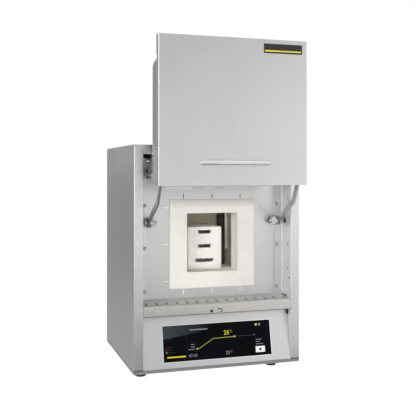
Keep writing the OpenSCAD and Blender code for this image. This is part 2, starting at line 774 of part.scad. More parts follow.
module rear_screws() color("#c9cbcc") in_place() {
  for (x = [rear_screw_x, body_w - rear_screw_x]) for (z = rear_screw_heights)
    translate([x, body_d, z]) rotate([0, 0, 180]) screw_y(0, 0, 0, screw_head, 5);
}

module door_panel() color("#c6c6c6") in_place() difference() {
  block(door_x, door_x + door_w, door_front, door_front + door_rim, door_z, door_z + door_h);
  block(door_x + door_t, door_x + door_w - door_t, door_front + door_t, door_front + door_rim + 1,
    door_z + door_t, door_z + door_h - door_t);
  both_sides() block(door_x - 1, door_x + door_t + 1, door_front + door_rim - 4, door_front + door_rim + 1,
    door_z + plate_h + 1.6, door_z + plate_h + 7.6);
  both_sides() block(arm_x - 3.2, arm_x + arm_t + 4, door_front + door_t + 1.5, door_front + door_rim + 1,
    door_z - 1, door_z + door_t + 1);
}

module door_plate() {
  difference() {
    along_x(plate_x, plate_x + door_t) polygon([
      [door_front + door_t, door_z + door_t], [door_back, door_z + door_t],
      [door_back, door_z + plate_h - 14], [door_back - 1.5, door_z + plate_h - 9],
      [door_back - 6, door_z + plate_h - 4.5], [door_back - 14, door_z + plate_h - 1.5],
      [door_back - 35, door_z + plate_h], [door_front + door_t, door_z + plate_h]
    ]);
    for (z = pin_heights) rod_x_axis(plate_x - 1, plate_x + 3, pin_y, z, pin_d - 2);
    for (z = plate_screws) rod_x_axis(plate_x - 1, plate_x + 3, plate_screw_y, door_z + z, screw_hole);
  }
}

module left_door_plate() color("#cfd0d1") in_place() door_plate();

module right_door_plate() color("#cfd0d1") in_place() right_side() door_plate();

module one_door_pins() {
  for (z = pin_heights) {
    rod_x_axis(plate_x, plate_x + door_t + eps, pin_y, z, pin_d - 2);
    rod_x_axis(plate_x + door_t, arm_x - 0.2, pin_y, z, pin_d + 4);
    rod_x_axis(arm_x - 0.3, arm_x + arm_t + 2.2, pin_y, z, pin_d);
  }
}

module door_pins() color("#8f9091") in_place() both_sides() one_door_pins();

module one_pin_clips() {
  for (z = pin_heights) difference() {
    rod_x_axis(arm_x + arm_t + 0.3, arm_x + arm_t + 1.5, pin_y, z, pin_d + 5);
    rod_x_axis(arm_x + arm_t, arm_x + arm_t + 3, pin_y, z, pin_d);
  }
}

module pin_clips() color("#3a3a3b") in_place() both_sides() one_pin_clips();

module door_screws() color("#8f9091") in_place() both_sides() {
  for (z = plate_screws) {
    rod_x_axis(plate_x - 1.2, plate_x, plate_screw_y, door_z + z, screw_head);
    rod_x_axis(plate_x - eps, plate_x + door_t + 2.2, plate_screw_y, door_z + z, screw_hole - 0.1);
    rod_x_axis(plate_x + door_t, plate_x + door_t + 2, plate_screw_y, door_z + z, screw_head - 0.7);
  }
}

module door_tray() color("#9ea1a3") in_place() difference() {
  block(pack_x, pack_x + pack_w, door_front + door_t, pack_back - 12, pack_z, pack_z + pack_h);
  block(pack_x + 1.2, pack_x + pack_w - 1.2, door_front + door_t + 1.2, pack_back,
    pack_z + 1.2, pack_z + pack_h - 1.2);
}

module door_insulation() color("#eeebe6") in_place()
  block(pack_x + 1.2, pack_x + pack_w - 1.2, door_front + door_t + 1.2, pack_back,
    pack_z + 1.2, pack_z + pack_h - 1.2);

module handle() color("#d7d9da") in_place() {
  hz = door_z + handle_z;
  r = handle_h / 2;
  block(mid - handle_l / 2, mid + handle_l / 2, door_front - handle_d + r, door_front, hz - r, hz + r);
  rod_x_axis(mid - handle_l / 2, mid + handle_l / 2, door_front - handle_d + r, hz, handle_h);
}

module air_knob() color("#151516") in_place() {
  rod_y_axis(knob_x, -2.4, -0.2, knob_z, knob_d);
  rod_y_axis(knob_x, -0.3, 20, knob_z, knob_stem_d);
}

module air_guide() color("#9ea1a3") in_place() difference() {
  block(knob_x - 4, knob_x + 4, 1.2, 10, sill_z + 1.2, knob_z + 4.7);
  rod_y_axis(knob_x, 0, 12, knob_z, knob_stem_d + knob_gap);
}

module fan_frame() color("#1d1e20") in_place() difference() {
  block(mid - fan_w / 2, mid + fan_w / 2, body_d - sheet_t - fan_deep, body_d - sheet_t,
    fan_z - fan_w / 2, fan_z + fan_w / 2);
  difference() {
    rod_y_axis(mid, body_d - sheet_t - fan_deep - 1, body_d, fan_z, fan_d);
    rod_y_axis(mid, body_d - sheet_t - 6, body_d + 1, fan_z, hub_d);
    for (a = [0, 90]) translate([mid, body_d - sheet_t - 5, fan_z]) rotate([0, a + 45, 0])
      translate([-fan_w / 2, 0, -1.5]) cube([fan_w, 3, 3]);
  }
  rod_y_axis(mid, body_d - sheet_t - fan_deep - 5, body_d - sheet_t - 3, fan_z, fan_pin_d + 0.12);
}

module fan_rotor() color("#26282a") in_place() union() {
  rod_y_axis(mid, body_d - sheet_t - 23, body_d - sheet_t - 7, fan_z, hub_d);
  rod_y_axis(mid, body_d - sheet_t - 8, body_d - sheet_t - 3.5, fan_z, fan_pin_d);
  for (a = [0:360 / fan_blades:359]) translate([mid, body_d - sheet_t - 15, fan_z]) rotate([0, a, 0])
    translate([0, 0, hub_d / 2 - 1.5]) rotate([0, 0, 35])
      translate([-8, -0.75, 0]) cube([16, 1.5, fan_d / 2 - hub_d / 2 - 2]);
}

module finger_guard() color("#c9cbcc") in_place() union() {
  for (d = [fan_d + 4, fan_d - 16, fan_d - 36]) difference() {
    rod_y_axis(mid, body_d, body_d + 2, fan_z, d);
    rod_y_axis(mid, body_d - 1, body_d + 3, fan_z, d - 4);
  }
  for (a = [45, 135]) translate([mid, body_d, fan_z]) rotate([0, a, 0])
    translate([-fan_w / 2 * 1.3, 0, -1]) cube([fan_w * 1.3, 2, 2]);
}

module power_inlet() color("#17181a") in_place() difference() {
  union() {
    plug_box(inlet_x, inlet_w + 8, inlet_h + 8, body_d, body_d + back_out);
    plug_box(inlet_x, inlet_w, inlet_h, body_d - sheet_t - 22, body_d + eps);
  }
  plug_box(inlet_x, inlet_w - 6, inlet_h - 8, body_d - inlet_deep, body_d + 4);
}

module inlet_pins() color("#c8b47a") in_place() {
  for (q = [[-6, -3], [6, -3], [0, 3]])
    block(inlet_x + q[0] - 1, inlet_x + q[0] + 1, body_d - inlet_deep, body_d - 1,
      fan_z + q[1] - 2.5, fan_z + q[1] + 2.5);
}

module switch_frame() color("#17181a") in_place() difference() {
  union() {
    plug_box(switch_x, switch_w + 6, switch_h + 6, body_d, body_d + 2);
    plug_box(switch_x, switch_w, switch_h, body_d - sheet_t - 18, body_d + eps);
  }
  plug_box(switch_x, switch_w - 3.4, switch_h - 3.4, body_d - 12, body_d + 3);
  rod_x_axis(switch_x - rocker_pin_l / 2 - 0.5, switch_x + rocker_pin_l / 2 + 0.5, body_d - 4, fan_z,
    rocker_pin_d + 0.12);
}

module switch_rocker() color("#2a2c2e") in_place() translate([switch_x, body_d - 4, fan_z]) union() {
  along_x(-(switch_w - 4) / 2, (switch_w - 4) / 2) polygon([
    [-5, -7], [-5, 7], [3.2, switch_h / 2 - 3], [6.6, switch_h / 2 - 3],
    [4.2, 0], [4.2, 3 - switch_h / 2], [1, 3 - switch_h / 2]
  ]);
  rod_x_axis(-rocker_pin_l / 2, rocker_pin_l / 2, 0, 0, rocker_pin_d);
}

module power_module() color("#3a3d40") in_place() union() {
  block(module_x, module_x + module_w, module_y, module_y + module_l, sheet_t, sheet_t + 8);
  block(module_x + 6, module_x + module_w - 6, module_y + 6, module_y + module_l - 6,
    sheet_t + 8 - eps, sheet_t + module_h);
  for (i = [0:module_fins - 1])
    block(module_x + 1 + fin_pitch * i, module_x + 3 + fin_pitch * i, module_y, module_y + module_l,
      sheet_t + 8 - eps, sheet_t + module_h - 10);
}

base_pan();
left_side_panel();
right_side_panel();
top_cover();
rear_panel();
recess_plate();
sill();
control_fascia();
controller_unit();
touch_glass();
port_flap();
feet();
collar();
front_insulation();
chamber_floor();
chamber_roof();
chamber_left_wall();
chamber_right_wall();
chamber_rear_wall();
inner_casing();
casing_stands();
left_heating_rod();
right_heating_rod();
rod_clamps();
thermocouple();
sagger_bottom();
sagger_middle();
sagger_top();
sagger_lid();
exhaust_tube();
exhaust_ring();
left_lower_arm();
right_lower_arm();
left_upper_arm();
right_upper_arm();
pivot_brackets();
pivot_bolts();
pivot_nuts();
recess_screws();
rear_screws();
door_panel();
left_door_plate();
right_door_plate();
door_pins();
pin_clips();
door_screws();
door_tray();
door_insulation();
handle();
air_knob();
air_guide();
fan_frame();
fan_rotor();
finger_guard();
power_inlet();
inlet_pins();
switch_frame();
switch_rocker();
power_module();
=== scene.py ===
"""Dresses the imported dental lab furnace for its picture.

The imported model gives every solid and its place. This script gives each surface the look of what
the real one is made of, swaps the sheet metal for copies with rounded folds, adds the small things
that a solid model leaves out, and sets the floor, the lamps and the camera.

Places are written in the cabinet's own millimetres: X from its left side, Y back from its front
plane and Z up from its underside. The control panel has a frame of its own, which leans with it.
"""

import logging
import math
from dataclasses import dataclass, field
from enum import Enum
from typing import Sequence

import bmesh
import bpy
from mathutils import Matrix, Vector


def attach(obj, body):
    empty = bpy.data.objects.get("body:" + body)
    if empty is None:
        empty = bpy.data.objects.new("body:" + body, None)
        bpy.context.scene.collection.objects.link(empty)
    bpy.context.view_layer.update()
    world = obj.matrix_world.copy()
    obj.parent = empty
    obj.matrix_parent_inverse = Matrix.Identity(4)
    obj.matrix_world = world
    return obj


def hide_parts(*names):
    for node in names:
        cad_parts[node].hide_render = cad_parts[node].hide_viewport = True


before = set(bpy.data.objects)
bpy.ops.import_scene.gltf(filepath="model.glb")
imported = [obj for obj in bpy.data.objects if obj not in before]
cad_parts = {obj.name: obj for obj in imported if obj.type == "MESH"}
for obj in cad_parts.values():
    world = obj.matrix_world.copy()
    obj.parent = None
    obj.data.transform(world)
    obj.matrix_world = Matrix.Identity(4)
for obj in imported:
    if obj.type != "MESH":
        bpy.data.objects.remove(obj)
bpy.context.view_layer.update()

log = logging.getLogger("furnace")

Point = tuple[float, float, float]
Outline = Sequence[tuple[float, float]]

CABINET_WIDTH = 340.0
FASCIA_LEAN = math.radians(11.6)
CABINET = Matrix.Translation((-0.170, -0.1005, 0.023)) @ Matrix.Scale(0.001, 4)
FASCIA = CABINET @ Matrix.Translation((0, 0.4, 7)) @ Matrix.Rotation(-FASCIA_LEAN, 4, "X")


class Axis(Enum):
    """The three directions of a drawing frame."""

    X = 0
    Y = 1
    Z = 2


class Body(Enum):
    """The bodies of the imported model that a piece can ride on."""

    CABINET = "cabinet"
    LOWER_ARMS = "lower_arms"
    UPPER_ARMS = "upper_arms"
    DOOR = "door"
    PORT_FLAP = "port_flap"
    AIR_KNOB = "air_knob"
    FAN_ROTOR = "fan_rotor"
    SWITCH_ROCKER = "switch_rocker"


# ---- materials ----


def linear(colour: str) -> tuple[float, float, float, float]:
    """Turns an sRGB hex colour into the linear colour that a shader takes.

    Args:
        colour: the colour as "#rrggbb".

    Returns:
        Red, green, blue and alpha, with alpha 1.
    """
    parts = [int(colour[i : i + 2], 16) / 255 for i in (1, 3, 5)]
    return (*(c / 12.92 if c <= 0.04045 else ((c + 0.055) / 1.055) ** 2.4 for c in parts), 1.0)


def shade(colour: str, factor: float) -> tuple[float, float, float, float]:
    """Scales a hex colour's linear value.

    Args:
        colour: the colour as "#rrggbb".
        factor: what each channel is multiplied by.

    Returns:
        The linear colour, never above 1.
    """
    return (*(min(1.0, c * factor) for c in linear(colour)[:3]), 1.0)


def add_node(
    tree: bpy.types.NodeTree,
    kind: str,
    options: dict[str, object] | None = None,
    inputs: dict[str | int, object] | None = None,
) -> bpy.types.Node:
    """Adds one node to a tree, with its settings and its links.

    Args:
        tree: the node tree.
        kind: the node's type name.
        options: the node's own settings, by name.
        inputs: for each input, by name or number, a value or the output that feeds it.

    Returns:
        The new node.
    """
    node = tree.nodes.new(kind)
    for key, value in (options or {}).items():
        setattr(node, key, value)
    for key, value in (inputs or {}).items():
        if isinstance(value, bpy.types.NodeSocket):
            tree.links.new(value, node.inputs[key])
        else:
            node.inputs[key].default_value = value
    return node


@dataclass(frozen=True)
class Finish:
    """What a surface is made of, and how it was made.

    Attributes:
        name: the material's name.
        colour: its colour as sRGB hex.
        roughness: how matt it is.
    """

    name: str
    colour: str
    roughness: float

    def material(self) -> bpy.types.Material:
        """Makes the material the first time, and hands out the same one from then on."""
        made = bpy.data.materials.get(self.name)
        if made is not None:
            return made
        made = bpy.data.materials.new(self.name)
        made.use_nodes = True
        made.diffuse_color = linear(self.colour)
        tree = made.node_tree
        tree.nodes.clear()
        shader = add_node(
            tree,
            "ShaderNodeBsdfPrincipled",
            inputs={"Base Color": linear(self.colour), "Roughness": self.roughness},
        )
        add_node(tree, "ShaderNodeOutputMaterial", inputs={"Surface": shader.outputs["BSDF"]})
        self.surface(tree, shader)
        return made

    def surface(self, tree: bpy.types.NodeTree, shader: bpy.types.Node) -> None:
        """Adds what sets this finish apart; a plain one adds nothing."""

    def noise(
        self, tree: bpy.types.NodeTree, grain: Point, detail: float = 3.0, rough: float = 0.55
    ) -> bpy.types.NodeSocket:
        """Adds a noise pattern with its own grain along each axis.

        Args:
            tree: the material's nodes.
            grain: the pattern's size in millimetres along X, Y and Z.
            detail: how many finer layers it has.
            rough: how strong the finer layers are.

        Returns:
            The pattern, from 0 to 1.
        """
        place = add_node(tree, "ShaderNodeTexCoord")
        stretch = add_node(
            tree,
            "ShaderNodeMapping",
            inputs={"Vector": place.outputs["Object"], "Scale": [1000 / g for g in grain]},
        )
        return add_node(
            tree,
            "ShaderNodeTexNoise",
            inputs={"Vector": stretch.outputs["Vector"], "Scale": 1.0, "Detail": detail, "Roughness": rough},
        ).outputs["Fac"]

    def tint(
        self,
        tree: bpy.types.NodeTree,
        shader: bpy.types.Node,
        pattern: bpy.types.NodeSocket,
        low: tuple[float, float, float, float],
        high: tuple[float, float, float, float],
        edges: tuple[float, float] = (0.3, 0.7),
    ) -> bpy.types.NodeSocket:
        """Lets a pattern run the base colour from one tone to another.

        Args:
            tree: the material's nodes.
            shader: the shader that takes the colour.
            pattern: the pattern, from 0 to 1.
            low: the colour where the pattern is low.
            high: the colour where it is high.
            edges: the pattern's values at which each colour is reached.

        Returns:
            The mixed colour.
        """
        spread = add_node(
            tree,
            "ShaderNodeMapRange",
            inputs={"Value": pattern, "From Min": edges[0], "From Max": edges[1]},
        )
        mixed = add_node(
            tree,
            "ShaderNodeMix",
            options={"data_type": "RGBA"},
            inputs={0: spread.outputs["Result"], 6: low, 7: high},
        ).outputs[2]
        tree.links.new(mixed, shader.inputs["Base Color"])
        return mixed

    def vary_roughness(
        self, tree: bpy.types.NodeTree, shader: bpy.types.Node, pattern: bpy.types.NodeSocket, spread: float
    ) -> None:
        """Lets a pattern move the roughness up and down by spread."""
        varied = add_node(
            tree,
            "ShaderNodeMapRange",
            inputs={
                "Value": pattern,
                "From Min": 0.25,
                "From Max": 0.75,
                "To Min": self.roughness - spread,
                "To Max": self.roughness + spread,
            },
        )
        tree.links.new(varied.outputs["Result"], shader.inputs["Roughness"])

    def relief(
        self, tree: bpy.types.NodeTree, shader: bpy.types.Node, pattern: bpy.types.NodeSocket, height: float
    ) -> None:
        """Raises the surface by the pattern, up to a height in millimetres."""
        bump = add_node(
            tree,
            "ShaderNodeBump",
            inputs={"Strength": 1.0, "Distance": height / 1000, "Height": pattern},
        )
        tree.links.new(bump.outputs["Normal"], shader.inputs["Normal"])


@dataclass(frozen=True)
class BrushedSteel(Finish):
    """Stainless sheet brushed on a belt: fine parallel lines that stretch every highlight.

    Attributes:
        line: distance between the brush lines in millimetres. The real grit leaves lines 0.1 mm
            apart, too fine for the picture, so they are drawn about ten times as coarse.
        run: length of a line in millimetres.
        along: the direction of the lines.
        contrast: how far the lines' tone moves from the colour.
    """

    line: float = 1.1
    run: float = 90.0
    along: Axis = Axis.Z
    contrast: float = 0.05

    def surface(self, tree: bpy.types.NodeTree, shader: bpy.types.Node) -> None:
        """Adds the brush lines, a faint cloud of handling marks and the lines' relief."""
        shader.inputs["Metallic"].default_value = 1.0
        grain = [self.line] * 3
        grain[self.along.value] = self.run
        lines = self.noise(tree, tuple(grain), 4.0, 0.6)
        cloud = self.noise(tree, (70.0, 70.0, 90.0), 2.0, 0.5)
        both = add_node(
            tree, "ShaderNodeMath", options={"operation": "ADD"}, inputs={0: lines, 1: cloud}
        ).outputs[0]
        half = add_node(
            tree, "ShaderNodeMath", options={"operation": "MULTIPLY"}, inputs={0: both, 1: 0.5}
        ).outputs[0]
        self.tint(
            tree, shader, half, shade(self.colour, 1 - self.contrast), shade(self.colour, 1 + self.contrast)
        )
        self.vary_roughness(tree, shader, half, 0.06)
        self.relief(tree, shader, lines, 0.004)


@dataclass(frozen=True)
class RolledSteel(Finish):
    """Cold-rolled stainless sheet with a dull even skin: no lines, only a soft mottle.

    Attributes:
        mottle: size of the mottle in millimetres.
        contrast: how far its tone moves.
        metal: how metallic it looks; a pickled skin scatters part of the light like paint.
    """

    mottle: float = 14.0
    contrast: float = 0.04
    metal: float = 1.0

    def surface(self, tree: bpy.types.NodeTree, shader: bpy.types.Node) -> None:
        """Adds the mottle and a fine pickled grain."""
        shader.inputs["Metallic"].default_value = self.metal
        patches = self.noise(tree, (self.mottle,) * 3, 3.0, 0.5)
        grain = self.noise(tree, (0.9, 0.9, 0.9), 2.0, 0.6)
        self.tint(
            tree, shader, patches, shade(self.colour, 1 - self.contrast), shade(self.colour, 1 + self.contrast)
        )
        self.vary_roughness(tree, shader, grain, 0.05)
        self.relief(tree, shader, grain, 0.01)


@dataclass(frozen=True)
class DrawnSteel(Finish):
    """Bright bar, drawn or turned: a tight sheen with faint rings or die lines.

    Attributes:
        marks: length, width and height of the tool marks in millimetres.
    """

    marks: Point = (8.0, 0.5, 0.5)

    def surface(self, tree: bpy.types.NodeTree, shader: bpy.types.Node) -> None:
        """Adds tool marks that break the reflections a little."""
        shader.inputs["Metallic"].default_value = 1.0
        marks = self.noise(tree, self.marks, 2.0, 0.5)
        self.tint(tree, shader, marks, shade(self.colour, 0.94), shade(self.colour, 1.05))
        self.vary_roughness(tree, shader, marks, 0.05)


@dataclass(frozen=True)
class BlackenedSteel(Finish):
    """Heat-blackened steel fasteners: dark, oily, with brighter worn spots."""

    def surface(self, tree: bpy.types.NodeTree, shader: bpy.types.Node) -> None:
        """Adds the worn spots and their change of gloss."""
        shader.inputs["Metallic"].default_value = 1.0
        wear = self.noise(tree, (2.4, 2.4, 2.4), 4.0, 0.6)
        self.tint(tree, shader, wear, shade(self.colour, 0.75), shade(self.colour, 1.7), (0.45, 0.75))
        self.vary_roughness(tree, shader, wear, 0.08)


@dataclass(frozen=True)
class FibreBoard(Finish):
    """Vacuum-formed ceramic fibre board, cut and sanded: chalky, with a felted nap and no gloss.

    Attributes:
        warm: the colour of its slightly scorched patches.
        fibre: size of the felted clumps in millimetres.
        nap: how deep the felt goes in millimetres.
    """

    warm: str = "#dccfbf"
    fibre: float = 1.6
    nap: float = 0.12

    def surface(self, tree: bpy.types.NodeTree, shader: bpy.types.Node) -> None:
        """Adds the scorched patches and the felt."""
        shader.inputs["IOR"].default_value = 1.3
        patches = self.noise(tree, (38.0, 38.0, 30.0), 3.0, 0.55)
        self.tint(tree, shader, patches, linear(self.colour), linear(self.warm), (0.5, 0.95))
        felt = self.noise(tree, (self.fibre * 2.2, self.fibre, self.fibre), 5.0, 0.7)
        self.relief(tree, shader, felt, self.nap)


@dataclass(frozen=True)
class ScorchedBoard(FibreBoard):
    """The same board with painted shade along its upper edge, where the open door above shades it.

    Attributes:
        brown: the tone of the painted shade at the upper edge.
        reach: the heights in metres between which the painted shade comes up.
    """

    brown: str = "#c3bcb5"
    reach: tuple[float, float] = (0.334, 0.353)

    def surface(self, tree: bpy.types.NodeTree, shader: bpy.types.Node) -> None:
        """Adds the painted shade along the upper edge to the plain board."""
        super().surface(tree, shader)
        plain = shader.inputs["Base Color"].links[0].from_socket
        place = add_node(tree, "ShaderNodeTexCoord").outputs["Object"]
        height = add_node(tree, "ShaderNodeSeparateXYZ", inputs={0: place}).outputs["Z"]
        heat = add_node(
            tree, "ShaderNodeMapRange", inputs={"Value": height, "From Min": self.reach[0], "From Max": self.reach[1]}
        ).outputs["Result"]
        browned = add_node(
            tree,
            "ShaderNodeMix",
            options={"data_type": "RGBA"},
            inputs={0: heat, 6: plain, 7: linear(self.brown)},
        ).outputs[2]
        tree.links.new(browned, shader.inputs["Base Color"])


@dataclass(frozen=True)
class FiredCeramic(Finish):
    """Dense fired ceramic, pressed and sintered: smooth, faintly waxy, with a fine grain.

    Attributes:
        fleck: how dark the grain is against the colour.
    """

    fleck: float = 0.96

    def surface(self, tree: bpy.types.NodeTree, shader: bpy.types.Node) -> None:
        """Adds the pressed grain and a slow drift of tone from the firing."""
        shader.inputs["IOR"].default_value = 1.6
        shader.inputs["Specular IOR Level"].default_value = 0.35
        grain = self.noise(tree, (0.8, 0.8, 0.8), 3.0, 0.6)
        drift = self.noise(tree, (30.0, 30.0, 22.0), 2.0, 0.5)
        self.tint(tree, shader, drift, shade(self.colour, self.fleck), linear(self.colour))
        self.vary_roughness(tree, shader, drift, 0.06)
        self.relief(tree, shader, grain, 0.02)


@dataclass(frozen=True)
class RecrystallisedCarbide(Finish):
    """Silicon carbide rod, extruded and fired: near black, porous, with glints of bare crystal.

    Attributes:
        crystal: the colour of the glinting faces.
    """

    crystal: str = "#6a6455"

    def surface(self, tree: bpy.types.NodeTree, shader: bpy.types.Node) -> None:
        """Adds the crystals, which are drawn 3 mm wide so that they show at all, and their relief."""
        place = add_node(tree, "ShaderNodeTexCoord")
        cells = add_node(
            tree,
            "ShaderNodeTexVoronoi",
            inputs={"Vector": place.outputs["Object"], "Scale": 1000 / 3.0, "Randomness": 1.0},
        )
        grain = self.noise(tree, (1.8, 1.8, 1.8), 4.0, 0.7)
        self.tint(tree, shader, grain, linear(self.colour), linear(self.crystal), (0.48, 0.72))
        self.vary_roughness(tree, shader, grain, 0.2)
        self.relief(tree, shader, cells.outputs["Distance"], 0.4)


@dataclass(frozen=True)
class MouldedPlastic(Finish):
    """Injection-moulded ABS from a spark-eroded tool: an even satin with a very fine grain.

    Attributes:
        texture: size of the tool's texture in millimetres, drawn coarser than the real 0.1 mm.
        depth: its depth in millimetres.
    """

    texture: float = 0.5
    depth: float = 0.01

    def surface(self, tree: bpy.types.NodeTree, shader: bpy.types.Node) -> None:
        """Adds the tool's texture and a slight drift of tone."""
        shader.inputs["IOR"].default_value = 1.53
        grain = self.noise(tree, (self.texture,) * 3, 2.0, 0.5)
        drift = self.noise(tree, (18.0, 18.0, 18.0), 2.0, 0.5)
        self.tint(tree, shader, drift, shade(self.colour, 0.88), shade(self.colour, 1.12))
        self.vary_roughness(tree, shader, grain, 0.05)
        self.relief(tree, shader, grain, self.depth)


@dataclass(frozen=True)
class Rubber(Finish):
    """Black moulded rubber: matt, with a grey bloom of dust."""

    def surface(self, tree: bpy.types.NodeTree, shader: bpy.types.Node) -> None:
        """Adds the bloom and a coarse matt skin."""
        shader.inputs["IOR"].default_value = 1.52
        bloom = self.noise(tree, (6.0, 6.0, 6.0), 4.0, 0.6)
        self.tint(tree, shader, bloom, linear(self.colour), shade(self.colour, 2.2), (0.5, 0.85))
        self.relief(tree, shader, self.noise(tree, (0.7, 0.7, 0.7), 2.0, 0.5), 0.02)


@dataclass(frozen=True)
class PolishedGlass(Finish):
    """Float glass printed black behind: deep, glossy, with a few fingertip smears and a painted reflection at its upper
    left.

    Attributes:
        gleam: how much of the room it mirrors.
        haze: the tone of the painted reflection in the upper left corner.
    """

    gleam: float = 0.04
    haze: str = "#434b4e"

    def surface(self, tree: bpy.types.NodeTree, shader: bpy.types.Node) -> None:
        """Adds the smears as patches of less gloss, and a painted reflection as a paler upper left corner."""
        shader.inputs["IOR"].default_value = 1.5
        shader.inputs["Specular IOR Level"].default_value = self.gleam
        smears = self.noise(tree, (24.0, 24.0, 14.0), 3.0, 0.6)
        inked = self.tint(tree, shader, smears, shade(self.colour, 0.8), shade(self.colour, 1.25))
        # A fixed paler corner at the upper left: painted reflection.
        place = add_node(tree, "ShaderNodeTexCoord").outputs["Object"]
        factors = []
        for slope, start, end in (((-148.0, 0.0, 1020.0), 100.8, 102.6), ((-9.0, 0.0, 0.0), 0.1, 1.15)):
            reach = add_node(
                tree, "ShaderNodeVectorMath", options={"operation": "DOT_PRODUCT"}, inputs={0: place, 1: slope}
            ).outputs["Value"]
            factors.append(
                add_node(
                    tree, "ShaderNodeMapRange", inputs={"Value": reach, "From Min": start, "From Max": end}
                ).outputs["Result"]
            )
        film = add_node(
            tree, "ShaderNodeMath", options={"operation": "MULTIPLY"}, inputs={0: factors[0], 1: factors[1]}
        ).outputs[0]
        hazed = add_node(
            tree,
            "ShaderNodeMix",
            options={"data_type": "RGBA"},
            inputs={0: film, 6: inked, 7: linear(self.haze)},
        ).outputs[2]
        tree.links.new(hazed, shader.inputs["Base Color"])
        self.vary_roughness(tree, shader, smears, 0.03)


@dataclass(frozen=True)
class Lacquer(Finish):
    """Stove lacquer on a thin metal plate, or print: an even coat with a slight orange peel."""

    def surface(self, tree: bpy.types.NodeTree, shader: bpy.types.Node) -> None:
        """Adds the orange peel and a faint drift of tone."""
        shader.inputs["IOR"].default_value = 1.5
        peel = self.noise(tree, (1.6, 1.6, 1.6), 2.0, 0.4)
        self.tint(tree, shader, peel, shade(self.colour, 0.95), shade(self.colour, 1.04))
        self.relief(tree, shader, peel, 0.006)


@dataclass(frozen=True)
class Backlit(Finish):
    """A lit part of the display: it glows evenly and takes little from the lamps.

    Attributes:
        power: how bright it glows, where 1 shows the colour as it is written.
    """

    power: float = 0.9

    def surface(self, tree: bpy.types.NodeTree, shader: bpy.types.Node) -> None:
        """Adds the glow, with the faint grid of the display's pixels."""
        shader.inputs["Emission Color"].default_value = linear(self.colour)
        shader.inputs["Emission Strength"].default_value = self.power
        shader.inputs["Specular IOR Level"].default_value = 0.1
        grid = self.noise(tree, (0.5, 0.5, 0.5), 0.0, 0.0)
        self.tint(tree, shader, grid, shade(self.colour, 0.1), shade(self.colour, 0.14))


# Brushed sheet on the front: light and even, with a soft vertical streak.
FRONT_STEEL = BrushedSteel("stainless_sheet_belt_brushed", "#b0b0af", 0.30)
DOOR_STEEL = BrushedSteel("stainless_door_sheet_belt_brushed", "#c1c1c1", 0.40, line=1.8, contrast=0.045)
# The recessed plate is brushed across, which shows as faint level lines.
RECESS_STEEL = BrushedSteel(
    "stainless_plate_cross_brushed", "#c3c3c3", 0.34, line=0.9, run=60.0, along=Axis.X, contrast=0.05
)
FASCIA_STEEL = BrushedSteel(
    "stainless_panel_fine_brushed", "#c4c5c6", 0.40, line=0.9, run=110.0, along=Axis.X, contrast=0.04
)
# The housing's sides and roof: a duller rolled sheet that looks grey and quiet.
HOUSING_STEEL = RolledSteel("stainless_housing_cold_rolled", "#cacac9", 0.38)
SILL_STEEL = RolledSteel("stainless_sill_cold_rolled", "#c6c4c2", 0.36, mottle=9.0)
BASE_STEEL = RolledSteel("stainless_base_cold_rolled", "#bdbbb9", 0.46)
# Inside the recess the same sheet takes a paler, half-metallic copy of the housing steel, so that the lamps light it:
# painted light on the posts' inner faces.
REVEAL_STEEL = RolledSteel("stainless_inner_face_pickled", "#e6e6e5", 0.45, metal=0.5)
# A pale, barely metallic copy of the door's steel for its bottom fold: a painted highlight.
FOLD_STEEL = RolledSteel("stainless_fold_burnished", "#f4f4f4", 0.5, metal=0.3)
# A paler, half-metallic copy of the sill's steel for its slotted top: painted light from above.
SHELF_STEEL = RolledSteel("stainless_sill_top_pickled", "#dddbd9", 0.42, metal=0.5)
INNER_STEEL = RolledSteel("mill_finish_casing_sheet", "#a2a5a7", 0.45, mottle=24.0)
BRIGHT_STEEL = DrawnSteel("bright_drawn_steel", "#dcdddf", 0.22)
HANDLE_STEEL = DrawnSteel("satin_handle_steel", "#dcdcdd", 0.28, marks=(60.0, 5.0, 5.0))
ARM_STEEL = DrawnSteel("satin_flat_bar_steel", "#b4b3b1", 0.34)
BOLT_STEEL = DrawnSteel("zinc_plated_bolt_steel", "#c9c8c6", 0.14)
NUT_STEEL = RolledSteel("zinc_plated_nut_steel", "#e2e2e1", 0.3, metal=0.6)
SCREW_STEEL = DrawnSteel("polished_screw_steel", "#b6b6b6", 0.12)
DARK_STEEL = BlackenedSteel("blackened_bolt_steel", "#4a4947", 0.34)
ZINC_STEEL = DrawnSteel("zinc_plated_steel", "#bfc0c1", 0.30)
COLLAR_BOARD = FibreBoard("ceramic_fibre_board_sanded", "#e9e5e0", 0.95, warm="#dfd3c6")
# The collar's face, with painted shade along its top under the open door.
COLLAR_FACE = ScorchedBoard("ceramic_fibre_board_browned", "#e8e4df", 0.95, warm="#e1d9cf")
INNER_BOARD = FibreBoard("ceramic_fibre_lining_fired", "#ece6dc", 0.95, warm="#d6cab6", fibre=2.2, nap=0.2)
# A darker copy of the lining for the chamber's rear wall: painted shade at the back of the chamber.
REAR_BOARD = FibreBoard("ceramic_fibre_rear_fired", "#b3ab9b", 0.95, warm="#a69c8a", fibre=2.2, nap=0.2)
TRAY_CERAMIC = FiredCeramic("pressed_alumina", "#ebe8e4", 0.6)
TUBE_CERAMIC = FiredCeramic("drawn_ceramic_tube", "#b9b1a2", 0.5, fleck=0.85)
VENT_CERAMIC = FiredCeramic("ceramic_vent_tube", "#d9d3c8", 0.6)
CARBIDE = RecrystallisedCarbide("silicon_carbide_rod", "#1d1a13", 0.62, crystal="#8a8270")
DARK_ABS = MouldedPlastic("black_moulded_abs", "#1c1d20", 0.42)
FLAP_ABS = PolishedGlass("black_flap_polished_face", "#10131a", 0.1)
